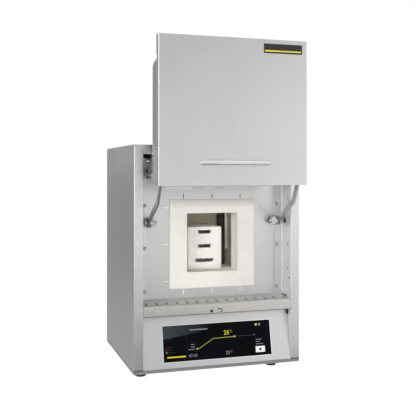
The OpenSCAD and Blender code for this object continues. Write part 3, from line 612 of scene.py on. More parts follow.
# Black rubber for the feet and the knob; the same black makes the dark rings at the pivots, and painted shade round
# screw heads and in tool holes.
FOOT_RUBBER = Rubber("black_moulded_rubber", "#151515", 0.75)
DISPLAY_GLASS = PolishedGlass("black_printed_glass", "#05070b", 0.08)
PIN_BRASS = DrawnSteel("plated_brass_pin", "#c8b47a", 0.28)
PLATE_BLACK = Lacquer("black_stoved_plate", "#141416", 0.32)
PLATE_YELLOW = Lacquer("yellow_screen_print", "#e2d33c", 0.45)
# Grey for the mitres and the sill's lower edge: painted shade.
JOINT_DARK = Rubber("grey_joint_sealant", "#55524f", 0.7)
# Dark grey behind the slots over the collar: painted shade.
SLIT_FELT = FibreBoard("graphite_felt", "#5c5854", 0.95, warm="#6a655f")
# Grey lines drawn along the sill top's two bends.
BEND_SCALE = RolledSteel("bend_scuffed_steel", "#94928f", 0.5)
# Near black, for the shade in slots, gaps and corners: painted shade.
SEAL_ROPE = FibreBoard("soot_black_seal_rope", "#191715", 0.95, warm="#26231f", fibre=1.0)
# White set close behind the slots round the collar: partly the insulation's own white, partly painted light.
SLIT_PAPER = FibreBoard("white_ceramic_paper", "#efeeec", 0.95, warm="#e8e5e0")
LABEL_PAPER = Lacquer("silvered_label_film", "#b3b2b0", 0.5)
LIT_YELLOW = Backlit("display_yellow", "#d8c833", 0.1, 0.95)
LIT_DIM_YELLOW = Backlit("display_dim_yellow", "#a49a4c", 0.1, 0.9)
LIT_WHITE = Backlit("display_white", "#e8eaec", 0.1, 0.95)
LIT_GREY = Backlit("display_grey", "#8d9096", 0.1, 0.9)
LIT_FAINT = Backlit("display_faint_line", "#23262e", 0.1, 0.9)
LIT_RED = Backlit("indicator_red", "#8a2a1e", 0.1, 0.9)
LIT_ORANGE = Backlit("indicator_orange", "#a5482a", 0.1, 0.9)
LIT_AMBER = Backlit("indicator_amber", "#d3b86a", 0.1, 0.9)


# ---- shapes ----


@dataclass(frozen=True)
class Fold:
    """The edges of a sheet that are folded, and so rounder than a cut edge.

    Attributes:
        where: the value that both ends of such an edge have on X, Y and Z, or None where any does.
        radius: the fold's outer radius in millimetres.
    """

    where: tuple[float | None, float | None, float | None]
    radius: float

    def holds(self, edge: bmesh.types.BMEdge) -> bool:
        """Says whether an edge is one of the folded ones."""
        return all(
            value is None or abs(vert.co[i] - value) < 0.06
            for i, value in enumerate(self.where)
            for vert in edge.verts
        )


@dataclass(frozen=True)
class Inset:
    """The part of a piece that has a finish of its own.

    Attributes:
        low: the lowest corner of the box that holds the middles of its faces.
        high: the highest corner of that box.
        finish: their finish.
    """

    low: Point
    high: Point
    finish: Finish

    def holds(self, spot: Vector) -> bool:
        """Says whether a face with its middle there is one of them."""
        return all(a <= c <= b for a, c, b in zip(self.low, spot, self.high))


def ring_points(radius: float, sides: int, start: float = 0.0) -> list[tuple[float, float]]:
    """Gives the corners of a regular polygon about the origin."""
    return [
        (radius * math.cos(start + math.tau * i / sides), radius * math.sin(start + math.tau * i / sides))
        for i in range(sides)
    ]


def rounded_rectangle(
    a0: float, a1: float, b0: float, b1: float, radius: float, steps: int = 5
) -> list[tuple[float, float]]:
    """Gives the outline of a rectangle with round corners.

    Args:
        a0: low end of the first direction.
        a1: high end of the first direction.
        b0: low end of the second direction.
        b1: high end of the second direction.
        radius: radius of the corners.
        steps: straight pieces in each corner.

    Returns:
        The outline's points, counter-clockwise.
    """
    points = []
    for ca, cb, turn in (
        (a1 - radius, b0 + radius, -0.25),
        (a1 - radius, b1 - radius, 0.0),
        (a0 + radius, b1 - radius, 0.25),
        (a0 + radius, b0 + radius, 0.5),
    ):
        for i in range(steps + 1):
            angle = math.tau * (turn + 0.25 * i / steps)
            points.append((ca + radius * math.cos(angle), cb + radius * math.sin(angle)))
    return points


class Form:
    """A mesh in the making, in the millimetres of the frame that it is drawn in."""

    def __init__(self, place: Matrix = CABINET) -> None:
        """Starts an empty form.

        Args:
            place: what takes the drawing frame's millimetres to the scene's metres.
        """
        self.mesh = bmesh.new()
        self.place = place

    def block(self, lo: Point, hi: Point) -> "Form":
        """Adds a box from its lowest corner to its highest."""
        size = Vector(hi) - Vector(lo)
        middle = (Vector(hi) + Vector(lo)) / 2
        bmesh.ops.create_cube(
            self.mesh, size=1.0, matrix=Matrix.Translation(middle) @ Matrix.Diagonal((*size, 1.0))
        )
        return self

    def prism(self, outline: Outline, axis: Axis, lo: float, hi: float) -> "Form":
        """Draws an outline out along an axis.

        Args:
            outline: the points in the two other directions, in the order X, Y, Z.
            axis: the direction it is drawn out in.
            lo: where it starts.
            hi: where it ends.

        Returns:
            The form itself.
        """

        def spot(a: float, b: float, t: float) -> Point:
            return {Axis.X: (t, a, b), Axis.Y: (a, t, b), Axis.Z: (a, b, t)}[axis]

        near = [self.mesh.verts.new(spot(a, b, lo)) for a, b in outline]
        far = [self.mesh.verts.new(spot(a, b, hi)) for a, b in outline]
        self.mesh.faces.new(near)
        self.mesh.faces.new(far)
        count = len(near)
        for i in range(count):
            j = (i + 1) % count
            self.mesh.faces.new((near[i], near[j], far[j], far[i]))
        return self

    def turned(
        self, profile: Outline, axis: Axis, at: Point, sides: int = 40, closed: bool = False
    ) -> "Form":
        """Turns a profile about an axis, as on a lathe.

        Args:
            profile: pairs of place along the axis and radius.
            axis: the axis.
            at: a point on the axis, whose own place along it is added to the profile's.
            sides: number of steps round.
            closed: whether the profile's end joins its start, as on a washer.

        Returns:
            The form itself.
        """
        others = [a.value for a in Axis if a is not axis]
        rings = []
        for along, radius in profile:
            ring = []
            for a, b in ring_points(radius, sides) if radius > 1e-6 else [(0.0, 0.0)]:
                spot = list(at)
                spot[axis.value] += along
                spot[others[0]] += a
                spot[others[1]] += b
                ring.append(self.mesh.verts.new(spot))
            rings.append(ring)
        pairs = list(zip(rings, rings[1:])) + ([(rings[-1], rings[0])] if closed else [])
        for one, two in pairs:
            for i in range(sides):
                j = (i + 1) % sides
                corners = [one[i % len(one)], one[j % len(one)], two[j % len(two)], two[i % len(two)]]
                corners = list(dict.fromkeys(corners))
                if len(corners) > 2:
                    self.mesh.faces.new(corners)
        if not closed:
            for ring in (rings[0], rings[-1]):
                if len(ring) > 2:
                    self.mesh.faces.new(ring)
        return self

    def wire(self, path: Sequence[Point], radius: float, sides: int = 10, closed: bool = False) -> "Form":
        """Runs a round wire along a path.

        Args:
            path: the points of its middle line.
            radius: the wire's radius.
            sides: number of steps round it.
            closed: whether its end joins its start.

        Returns:
            The form itself.
        """
        points = [Vector(p) for p in path]
        rings = []
        side = Vector((0.3, 0.5, 0.8))
        for i, point in enumerate(points):
            before = points[i - 1] if i or closed else point
            after = points[(i + 1) % len(points)] if i + 1 < len(points) or closed else point
            along = (after - before).normalized()
            side = (side - along * side.dot(along)).normalized()
            across = along.cross(side)
            rings.append(
                [self.mesh.verts.new(point + side * a + across * b) for a, b in ring_points(radius, sides)]
            )
        pairs = list(zip(rings, rings[1:])) + ([(rings[-1], rings[0])] if closed else [])
        for one, two in pairs:
            offset = 0
            if two is rings[0]:
                offset = min(
                    range(sides), key=lambda k: sum((one[i].co - two[(i + k) % sides].co).length for i in range(sides))
                )
            for i in range(sides):
                j = (i + 1) % sides
                self.mesh.faces.new((one[i], one[j], two[(j + offset) % sides], two[(i + offset) % sides]))
        if not closed:
            self.mesh.faces.new(rings[0])
            self.mesh.faces.new(rings[-1])
        return self

    def copy_of(self, node: str) -> "Form":
        """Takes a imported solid's mesh in, cleaned of the seams and facets of its file."""
        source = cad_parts[node]
        self.mesh.from_mesh(source.data)
        bmesh.ops.transform(
            self.mesh, matrix=self.place.inverted() @ source.matrix_world, verts=self.mesh.verts
        )
        bmesh.ops.remove_doubles(self.mesh, verts=self.mesh.verts, dist=0.004)
        bmesh.ops.dissolve_limit(
            self.mesh, angle_limit=math.radians(0.5), verts=self.mesh.verts, edges=self.mesh.edges
        )
        return self

    def soften(self, width: float, segments: int = 2, folds: Sequence[Fold] = (), angle: float = 32.0) -> "Form":
        """Rounds the edges: the folded ones by their own radius, the rest by a small one.

        Args:
            width: how far a cut edge is rounded.
            segments: steps in a cut edge's rounding.
            folds: which edges are folded, and how round.
            angle: an edge is rounded where its faces meet at more than this many degrees.

        Returns:
            The form itself.
        """
        bmesh.ops.recalc_face_normals(self.mesh, faces=self.mesh.faces)
        for fold in folds:
            bent = [
                e
                for e in self.mesh.edges
                if fold.holds(e) and len(e.link_faces) == 2 and e.calc_face_angle(0.0) > math.radians(angle)
            ]
            if bent:
                bmesh.ops.bevel(
                    self.mesh, geom=bent, offset=fold.radius, segments=5, profile=0.5, affect="EDGES",
                    clamp_overlap=True,
                )
        if width > 0:
            cut = [
                e
                for e in self.mesh.edges
                if len(e.link_faces) == 2 and e.calc_face_angle(0.0) > math.radians(angle)
            ]
            bmesh.ops.bevel(
                self.mesh, geom=cut, offset=width, segments=segments, profile=0.5, affect="EDGES",
                clamp_overlap=True,
            )
        return self

    def cut(self, *blocks: tuple[Point, Point]) -> "Form":
        """Cuts openings, each given as the lowest and highest corner of a box."""
        tool = Form(self.place)
        for lo, hi in blocks:
            tool.block(lo, hi)
        drafts = []
        for form in (self, tool):
            bmesh.ops.recalc_face_normals(form.mesh, faces=form.mesh.faces)
            mesh = bpy.data.meshes.new("cut_draft")
            form.mesh.to_mesh(mesh)
            form.mesh.free()
            drafts.append(bpy.data.objects.new("cut_draft", mesh))
            bpy.context.scene.collection.objects.link(drafts[-1])
        stock, cutter = drafts
        saw = stock.modifiers.new("saw", "BOOLEAN")
        saw.operation, saw.solver, saw.object = "DIFFERENCE", "EXACT", cutter
        saw.use_self = True
        left = bpy.data.meshes.new_from_object(stock.evaluated_get(bpy.context.evaluated_depsgraph_get()))
        self.mesh = bmesh.new()
        self.mesh.from_mesh(left)
        for draft in drafts:
            mesh = draft.data
            bpy.data.objects.remove(draft)
            bpy.data.meshes.remove(mesh)
        bpy.data.meshes.remove(left)
        return self

    def mirrored(self) -> "Form":
        """Adds the same shapes on the cabinet's other side."""
        made = bmesh.ops.duplicate(self.mesh, geom=self.mesh.verts[:] + self.mesh.edges[:] + self.mesh.faces[:])
        verts = [v for v in made["geom"] if isinstance(v, bmesh.types.BMVert)]
        for vert in verts:
            vert.co.x = CABINET_WIDTH - vert.co.x
        bmesh.ops.reverse_faces(
            self.mesh, faces=[f for f in made["geom"] if isinstance(f, bmesh.types.BMFace)]
        )
        return self

    def piece(
        self,
        name: str,
        finish: Finish,
        body: Body,
        slot: str,
        replaces: Sequence[str] = (),
        smooth: float = 34.0,
        inset: "Inset | None" = None,
    ) -> bpy.types.Object:
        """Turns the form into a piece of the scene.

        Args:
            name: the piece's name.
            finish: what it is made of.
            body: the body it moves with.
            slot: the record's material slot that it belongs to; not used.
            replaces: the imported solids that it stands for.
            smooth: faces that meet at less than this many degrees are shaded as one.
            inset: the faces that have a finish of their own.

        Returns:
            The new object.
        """
        bmesh.ops.recalc_face_normals(self.mesh, faces=self.mesh.faces)
        if inset:
            for face in self.mesh.faces:
                face.material_index = int(inset.holds(face.calc_center_median()))
        bmesh.ops.transform(self.mesh, matrix=self.place, verts=self.mesh.verts)
        mesh = bpy.data.meshes.new(name)
        self.mesh.to_mesh(mesh)
        self.mesh.free()
        for face in mesh.polygons:
            face.use_smooth = True
        mesh.set_sharp_from_angle(angle=math.radians(smooth))
        mesh.materials.append(finish.material())
        if inset:
            mesh.materials.append(inset.finish.material())
        made = bpy.data.objects.new(name, mesh)
        bpy.context.scene.collection.objects.link(made)
        flatten_shading(made)
        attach(made, body.value)
        if replaces:
            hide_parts(*replaces)
        log.info("%s: %d faces, %s, rides on %s", name, len(made.data.polygons), finish.name, body.value)
        return made


def flatten_shading(made: bpy.types.Object) -> None:
    """Lets large faces set the shading at their corners, so that flat sheet looks flat up to its folds."""
    weigh = made.modifiers.new("area_normals", "WEIGHTED_NORMAL")
    weigh.mode = "FACE_AREA"
    weigh.weight = 50
    weigh.keep_sharp = True
    shaded = bpy.data.meshes.new_from_object(made.evaluated_get(bpy.context.evaluated_depsgraph_get()))
    made.modifiers.clear()
    rough = made.data
    made.data = shaded
    shaded.name = rough.name + "_mesh"
    bpy.data.meshes.remove(rough)


def dress(finish: Finish, *nodes: str) -> None:
    """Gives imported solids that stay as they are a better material."""
    for node in nodes:
        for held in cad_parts[node].material_slots:
            held.material = finish.material()
        log.info("%s: %s", node, finish.name)


def lettering(text: str, place: Matrix, at: Point, height: float, name: str, finish: Finish, bold: float = 0.0) -> None:
    """Writes plain numerals on a surface as a thin raised mesh.

    Args:
        text: what is written.
        place: the drawing frame of the surface, whose face looks along -Y.
        at: the lower left corner of the writing.
        height: the height of a numeral in millimetres.
        name: the piece's name.
        finish: its finish.
        bold: how much the strokes are thickened, in millimetres.
    """
    curve = bpy.data.curves.new(name + "_outline", "FONT")
    curve.body = text
    curve.size = height / 0.69
    curve.extrude = 0.02
    curve.offset = bold
    curve.resolution_u = 3
    draft = bpy.data.objects.new(name + "_outline", curve)
    bpy.context.scene.collection.objects.link(draft)
    form = Form(place)
    form.mesh.from_mesh(
        bpy.data.meshes.new_from_object(draft.evaluated_get(bpy.context.evaluated_depsgraph_get()))
    )
    bpy.data.objects.remove(draft)
    upright = Matrix.Translation(at) @ Matrix.Rotation(math.radians(90), 4, "X")
    bmesh.ops.transform(form.mesh, matrix=upright, verts=form.mesh.verts)
    form.piece(name, finish, Body.CABINET, "display_glass")


# ---- the furnace ----


@dataclass
class Housing:
    """The cabinet's outer sheet metal, its plate behind the door and its feet.

    Attributes:
        depth: depth of the cabinet.
        height: height of the cabinet above its feet.
        post: width of each front post.
        recess: depth of the recessed plate.
        fold: outer radius of the folds.
        sheet: thickness of the sheet.
        sill_low: Z of the sill's lower edge.
        opening_low: Z of the collar's lower edge.
        opening_high: Z of the collar's upper edge.
        hook: X of the hook slot's stem.
    """

    depth: float = 300.0
    height: float = 436.0
    post: float = 18.0
    recess: float = 47.0
    fold: float = 1.3
    sheet: float = 1.2
    sill_low: float = 108.5
    opening_low: float = 152.0
    opening_high: float = 328.8
    hook: float = 176.0

    def build(self) -> None:
        """Makes the housing's pieces."""
        self.sides()
        self.cover()
        self.plates()
        self.joints()
        self.linings()
        self.feet()
        self.label()

    def sides(self) -> None:
        """Makes both side panels with rounded front folds."""
        middle = CABINET_WIDTH / 2
        for name, x in (("left", 0.0), ("right", CABINET_WIDTH)):
            post = self.post if x == 0 else CABINET_WIDTH - self.post
            inner = post - 0.7 if x == 0 else post + 0.7
            Form().copy_of(f"{name}_side_panel").soften(
                0.25,
                2,
                [
                    Fold((x, 0.0, None), self.fold),
                    Fold((post, 0.0, None), self.fold),
                    Fold((post, self.recess - self.sheet, None), 2.0),
                ],
            ).piece(
                f"{name}_side_sheet",
                HOUSING_STEEL,
                Body.CABINET,
                "housing_steel",
                [f"{name}_side_panel"],
                # The posts' inner faces take the paler copy of the steel: painted light.
                inset=Inset(
                    (min(inner, middle), 0.4, 0.0), (max(inner, middle), self.recess - 3.2, self.height), REVEAL_STEEL
                ),
            )

    def cover(self) -> None:
        """Makes the roof sheet with its mitred front bar."""
        Form().copy_of("top_cover").soften(
            0.25, 2, [Fold((None, 0.0, self.height), self.fold)]
        ).piece("roof_sheet", HOUSING_STEEL, Body.CABINET, "housing_steel", ["top_cover"])

    def plates(self) -> None:
        """Makes the rear panel, the base pan, the recessed plate and the sill."""
        Form().copy_of("rear_panel").soften(0.2, 1).piece(
            "rear_sheet", HOUSING_STEEL, Body.CABINET, "housing_steel", ["rear_panel"], smooth=8.0
        )
        Form().copy_of("base_pan").soften(0.4, 2).piece(
            "base_sheet", BASE_STEEL, Body.CABINET, "base_steel", ["base_pan"]
        )
        Form().copy_of("recess_plate").soften(0.15, 1).piece(
            "recess_sheet", RECESS_STEEL, Body.CABINET, "front_steel", ["recess_plate"]
        )
        self.sill()

    def sill(self) -> None:
        """Bends the sill: a lip, a face with its hook slot, a wide fold and a slotted top that rises to the rear."""
        low, t, fold = self.sill_low, self.sheet, 5.0
        corner = (fold, low + 15.8)
        outer = [(0.0, low)]
        inner = [(t, low + t)]
        for i in range(7):
            turn = math.radians(15 * i * 0.96)
            for skin, r in ((outer, fold), (inner, fold - t)):
                skin.append((corner[0] - r * math.cos(turn), corner[1] + r * math.sin(turn)))
        for y, z in ((41.5, low + 23.2), (44.5, low + 24.2), (self.recess - 0.1, low + 26.2)):
            outer.append((y, z))
            inner.append((y, z - t))
        outline = outer + inner[::-1] + [(16.0, low + t), (16.0, low)]
        left, right = self.post + 0.3, CABINET_WIDTH - self.post - 0.3
        top = (low + 15.0, low + 28.0)
        slots = [
            ((left + 7.1 + 20.35 * i, 6.6, top[0]), (left + 9.9 + 20.35 * i, 23.9, top[1])) for i in range(15)
        ]
        Form().prism(outline, Axis.X, left, right).cut(
            *slots,
            ((right - 4.2, 17.0, top[0]), (right + 1.0, 43.0, top[1])),
            ((self.hook - 10.3, -1.0, low + 7.0), (self.hook, 3.0, low + 8.5)),
            ((self.hook - 1.5, -1.0, low + 2.4), (self.hook, 3.0, low + 8.5)),
            ((self.hook - 4.6, -1.0, low + 1.6), (self.hook, 3.0, low + 3.0)),
        ).soften(0.2, 1).piece(
            "sill_sheet",
            SILL_STEEL,
            Body.CABINET,
            "housing_steel",
            ["sill"],
            # The slotted top takes the paler copy: painted light from above.
            inset=Inset((left - 1.0, 5.2, low + 18.0), (right + 1.0, 90.0, low + 30.0), SHELF_STEEL),
        )
        # Painted shade: dark blocks in the sill's slots and its hook slot, where the openings show shade.
        dark = Form()
        ends = [(lo[0] + 0.1, hi[0] - 0.1, 6.8, 23.7, 20.6) for lo, hi in slots]
        for x0, x1, y0, y1, top_z in ends + [(right - 4.1, right - 0.1, 17.2, 41.3, 21.3)]:
            rise = low + top_z + (y1 - y0) * 0.0655
            dark.prism([(y0, low + top_z), (y1, rise), (y1, low + 18.0), (y0, low + 18.0)], Axis.X, x0, x1)
        dark.block((self.hook - 10.2, 0.3, low + 7.1), (self.hook - 0.1, 1.1, low + 8.4))
        dark.block((self.hook - 1.4, 0.3, low + 2.9), (self.hook - 0.1, 1.1, low + 7.1))
        dark.block((self.hook - 4.5, 0.3, low + 1.7), (self.hook - 0.1, 1.1, low + 2.9))
        dark.piece("sill_slot_felts", SEAL_ROPE, Body.CABINET, "housing_steel")
        # Grey lines along the sill top's two bends.
        marks = Form()
        for y, z in ((5.4, low + 20.85), (41.2, low + 23.17)):
            marks.block((left, y - 0.55, z - 0.3), (right, y + 0.55, z + 0.05))
        marks.piece("sill_bend_marks", BEND_SCALE, Body.CABINET, "housing_steel")

    def joints(self) -> None:
        """Draws painted shade in the joints: dark lines along the mitred corners, at the posts' feet and under the
        sill's lower edge.
        """
        # Dark lines along the mitred corners: painted shade in the joints.
        seam, top, low = 0.42, self.height - 0.6, self.height - self.post
        form = Form()
        form.prism(
            [(0.6 - seam, top), (0.6 + seam, top), (self.post + seam, low), (self.post - seam, low)],
            Axis.Y,
            -0.05,
            0.3,
        )
        form.mirrored().piece("mitre_seams", JOINT_DARK, Body.CABINET, "housing_steel")
        # Dark lines at the posts' feet: painted shade in the gap above the base.
        Form().block((0.3, -0.05, 7.0), (self.post, 0.3, 8.4)).mirrored().piece(
            "post_foot_joints", SEAL_ROPE, Body.CABINET, "housing_steel"
        )
        # A dark line under the sill's edge: painted shade from its overhang.
        Form().block(
            (self.post + 0.5, 0.3, self.sill_low - 0.9), (CABINET_WIDTH - self.post - 0.5, 1.4, self.sill_low)
        ).piece("sill_edge_seal", JOINT_DARK, Body.CABINET, "housing_steel")

    def linings(self) -> None:
        """Lays what shows through the plate's slots and under the roof bar, partly in painted light and shade: white
        strips close behind the slots round the collar that show them lit, a dark strip behind the slots just over the
        collar, and dark bands in the upper corners.
        """
        back = self.recess + self.sheet
        middle = CABINET_WIDTH / 2
        low, high = self.opening_low, self.opening_high
        left, right = middle - 89.3, middle + 89.3
        # White strips close behind the slots round the collar: the insulation's white, set forward so that the slots
        # show lit, which is painted light.
        white = Form()
        for x0, x1, z0, z1 in (
            (middle - 99, middle + 124, high + 19, high + 29),
            (middle - 66, middle + 66, low - 13, low - 1),
            (left - 13, left - 1, low + 8, high - 8),
            (right + 1, right + 13, low + 8, high - 8),
        ):
            white.block((x0, back - 0.4, z0), (x1, back - 0.05, z1))
        white.piece("slot_paper_strips", SLIT_PAPER, Body.CABINET, "fibre_board")
        # A dark strip behind the slots just over the collar: painted shade under the door.
        Form().block((middle - 66, back - 0.4, high + 1.2), (middle + 66, back - 0.05, high + 12)).piece(
            "slit_felt_strip", SLIT_FELT, Body.CABINET, "fibre_board"
        )
        # Dark bands in the upper corners under the roof bar: painted shade.
        rope = Form().block((19.0, 45.1, 410.8), (44.5, 45.75, 417.8)).block((34.6, 45.75, 410.8), (44.5, 46.9, 417.8))
        rope.mirrored().piece("corner_seal_ropes", SEAL_ROPE, Body.CABINET, "fibre_board")

    def feet(self) -> None:
        """Makes the ribbed rubber feet on their studs."""
        form = Form()
        profile = [
            (-23.0, 0.0), (-23.0, 9.6), (-22.4, 10.6), (-21.0, 11.0), (-18.6, 11.0), (-18.2, 10.5), (-17.4, 10.5),
            (-17.0, 11.0), (-14.6, 11.0), (-14.2, 10.5), (-13.4, 10.5), (-13.0, 11.0), (-9.0, 10.8), (-7.4, 9.8),
            (-6.6, 9.1), (-0.6, 9.0), (-0.1, 8.6), (-0.1, 0.0),
        ]
        for x in (30.0, CABINET_WIDTH - 30.0):
            for y in (79.0, self.depth - 79.0):
                form.turned(profile, Axis.Z, (x, y, 0.0), 36)
        form.piece("rubber_feet", FOOT_RUBBER, Body.CABINET, "foot_rubber", ["feet"])

    def label(self) -> None:
        """Sticks the blank silvered label on the left side panel."""
        outline = rounded_rectangle(176.0, 297.0, 377.0, 433.0, 2.0)
        Form().prism(outline, Axis.X, -0.06, 0.0).piece(
            "blank_label", LABEL_PAPER, Body.CABINET, "housing_steel"
        )


@dataclass
class Door:
    """The lift door: a folded pan with side plates, a handle and insulation behind.

    Attributes:
        front: Y of its front face when open.
        low: Z of its lower edge.
        high: Z of its upper edge.
        side: X of its left edge.
        handle_z: Z of the handle's middle.
    """

    front: float = -91.0
    low: float = 359.0
    high: float = 632.0
    side: float = 25.0
    handle_z: float = 400.7

    def build(self) -> None:
        """Makes the door's pieces."""
        right = CABINET_WIDTH - self.side
        Form().copy_of("door_panel").soften(
            0.3,
            2,
            [
                Fold((self.side, self.front, None), 1.8),
                Fold((right, self.front, None), 1.8),
                Fold((None, self.front, self.low), 1.5),
                Fold((None, self.front, self.high), 1.5),
            ],
        ).piece(
            "door_pan",
            DOOR_STEEL,
            Body.DOOR,
            "front_steel",
            ["door_panel"],
            # The bottom fold takes the pale copy of the steel: a painted highlight along it.
            inset=Inset(
                (self.side, self.front - 0.1, self.low - 0.1), (right, self.front + 1.6, self.low + 1.45), FOLD_STEEL
            ),
        )
        for name in ("left", "right"):
            Form().copy_of(f"{name}_door_plate").soften(0.3, 2).piece(
                f"{name}_door_cheek", FRONT_STEEL, Body.DOOR, "front_steel", [f"{name}_door_plate"]
            )
        Form().copy_of("door_tray").soften(0.3, 2).piece(
            "door_backing", INNER_STEEL, Body.DOOR, "inner_steel", ["door_tray"]
        )
        Form().copy_of("door_insulation").soften(1.6, 3).piece(
            "door_fibre_pad", COLLAR_BOARD, Body.DOOR, "fibre_board", ["door_insulation"]
        )
        self.handle()
        self.nameplate()
        self.screws()

    def handle(self) -> None:
        """Makes the handle, a bar with a half-round face and softened edges."""
        y, z, r = self.front, self.handle_z, 4.3
        outline = [(y, z - r), (y - 6.7, z - r)]
        outline += [
            (y - 6.7 - r * math.sin(a), z - r * math.cos(a))
            for a in [math.pi * i / 14 for i in range(1, 14)]
        ]
        outline += [(y - 6.7, z + r), (y, z + r)]
        Form().prism(outline, Axis.X, 103.0, 237.0).soften(0.5, 3).piece(
            "handle_bar", HANDLE_STEEL, Body.DOOR, "bright_steel", ["handle"]
        )

    def nameplate(self) -> None:
        """Rivets a blank black plate with a plain yellow band to the door."""
        y = self.front
        Form().prism(rounded_rectangle(227.0, 305.0, 606.0, 624.0, 1.2), Axis.Y, y - 0.45, y).soften(
            0.12, 2
        ).piece("blank_nameplate", PLATE_BLACK, Body.DOOR, "front_steel")
        Form().prism(rounded_rectangle(229.5, 302.5, 609.2, 611.8, 0.4), Axis.Y, y - 0.5, y - 0.4).piece(
            "nameplate_band", PLATE_YELLOW, Body.DOOR, "front_steel"
        )

    def screws(self) -> None:
        """Makes the door plates' socket screws, the pins and their spring clips."""
        form = Form()
        for z in (self.low + 68.5, self.low + 190.5):
            socket_head(form, Axis.X, (self.side + 1.5, self.front + 23.5, z), -1, 3.1, 1.2)
            form.turned(
                [(1.4, 1.5), (3.7, 1.5), (3.7, 0.0)], Axis.X, (self.side + 1.5, self.front + 23.5, z), 16
            )
            form.prism(
                [(self.front + 23.5 + a, z + b) for a, b in ring_points(2.75, 6)],
                Axis.X,
                self.side + 3.0,
                self.side + 5.0,
            )
        form.mirrored().piece("door_plate_screws", SCREW_STEEL, Body.DOOR, "dark_steel", ["door_screws"])
        # Dark rings under the heads: painted shade round each screw.
        rings = Form()
        for z in (self.low + 68.5, self.low + 190.5):
            rings.turned(
                [(self.side + 1.0, 3.0), (self.side + 1.0, 3.9), (self.side + 1.5, 4.3), (self.side + 1.5, 3.0)],
                Axis.X,
                (0.0, self.front + 23.5, z),
                24,
                closed=True,
            )
        rings.mirrored().piece("door_screw_rings", FOOT_RUBBER, Body.DOOR, "dark_steel")
        Form().copy_of("door_pins").soften(0.25, 2).piece(
            "door_pivot_pins", ZINC_STEEL, Body.DOOR, "dark_steel", ["door_pins"]
        )
        dress(DARK_STEEL, "pin_clips")


def socket_head(form: Form, axis: Axis, at: Point, sign: int, radius: float, height: float) -> None:
    """Adds a low domed screw head with a socket to a form.

    Args:
        form: the form it goes into.
        axis: the screw's axis.
        at: the middle of the head's seat.
        sign: 1 where the head looks along the axis, -1 where it looks against it.
        radius: the head's radius.
        height: the head's height.
    """
    profile = [(0.0, 0.0), (0.0, radius), (0.25 * height, radius)]
    for i in range(1, 5):
        angle = math.radians(90 - 13 * i)
        profile.append((height * (0.25 + 0.72 * math.cos(angle)), radius * math.sin(angle)))
    profile += [(height, 0.46 * radius), (height * 0.35, 0.42 * radius), (height * 0.3, 0.0)]
    form.turned([(sign * along, r) for along, r in profile], axis, at, 24)


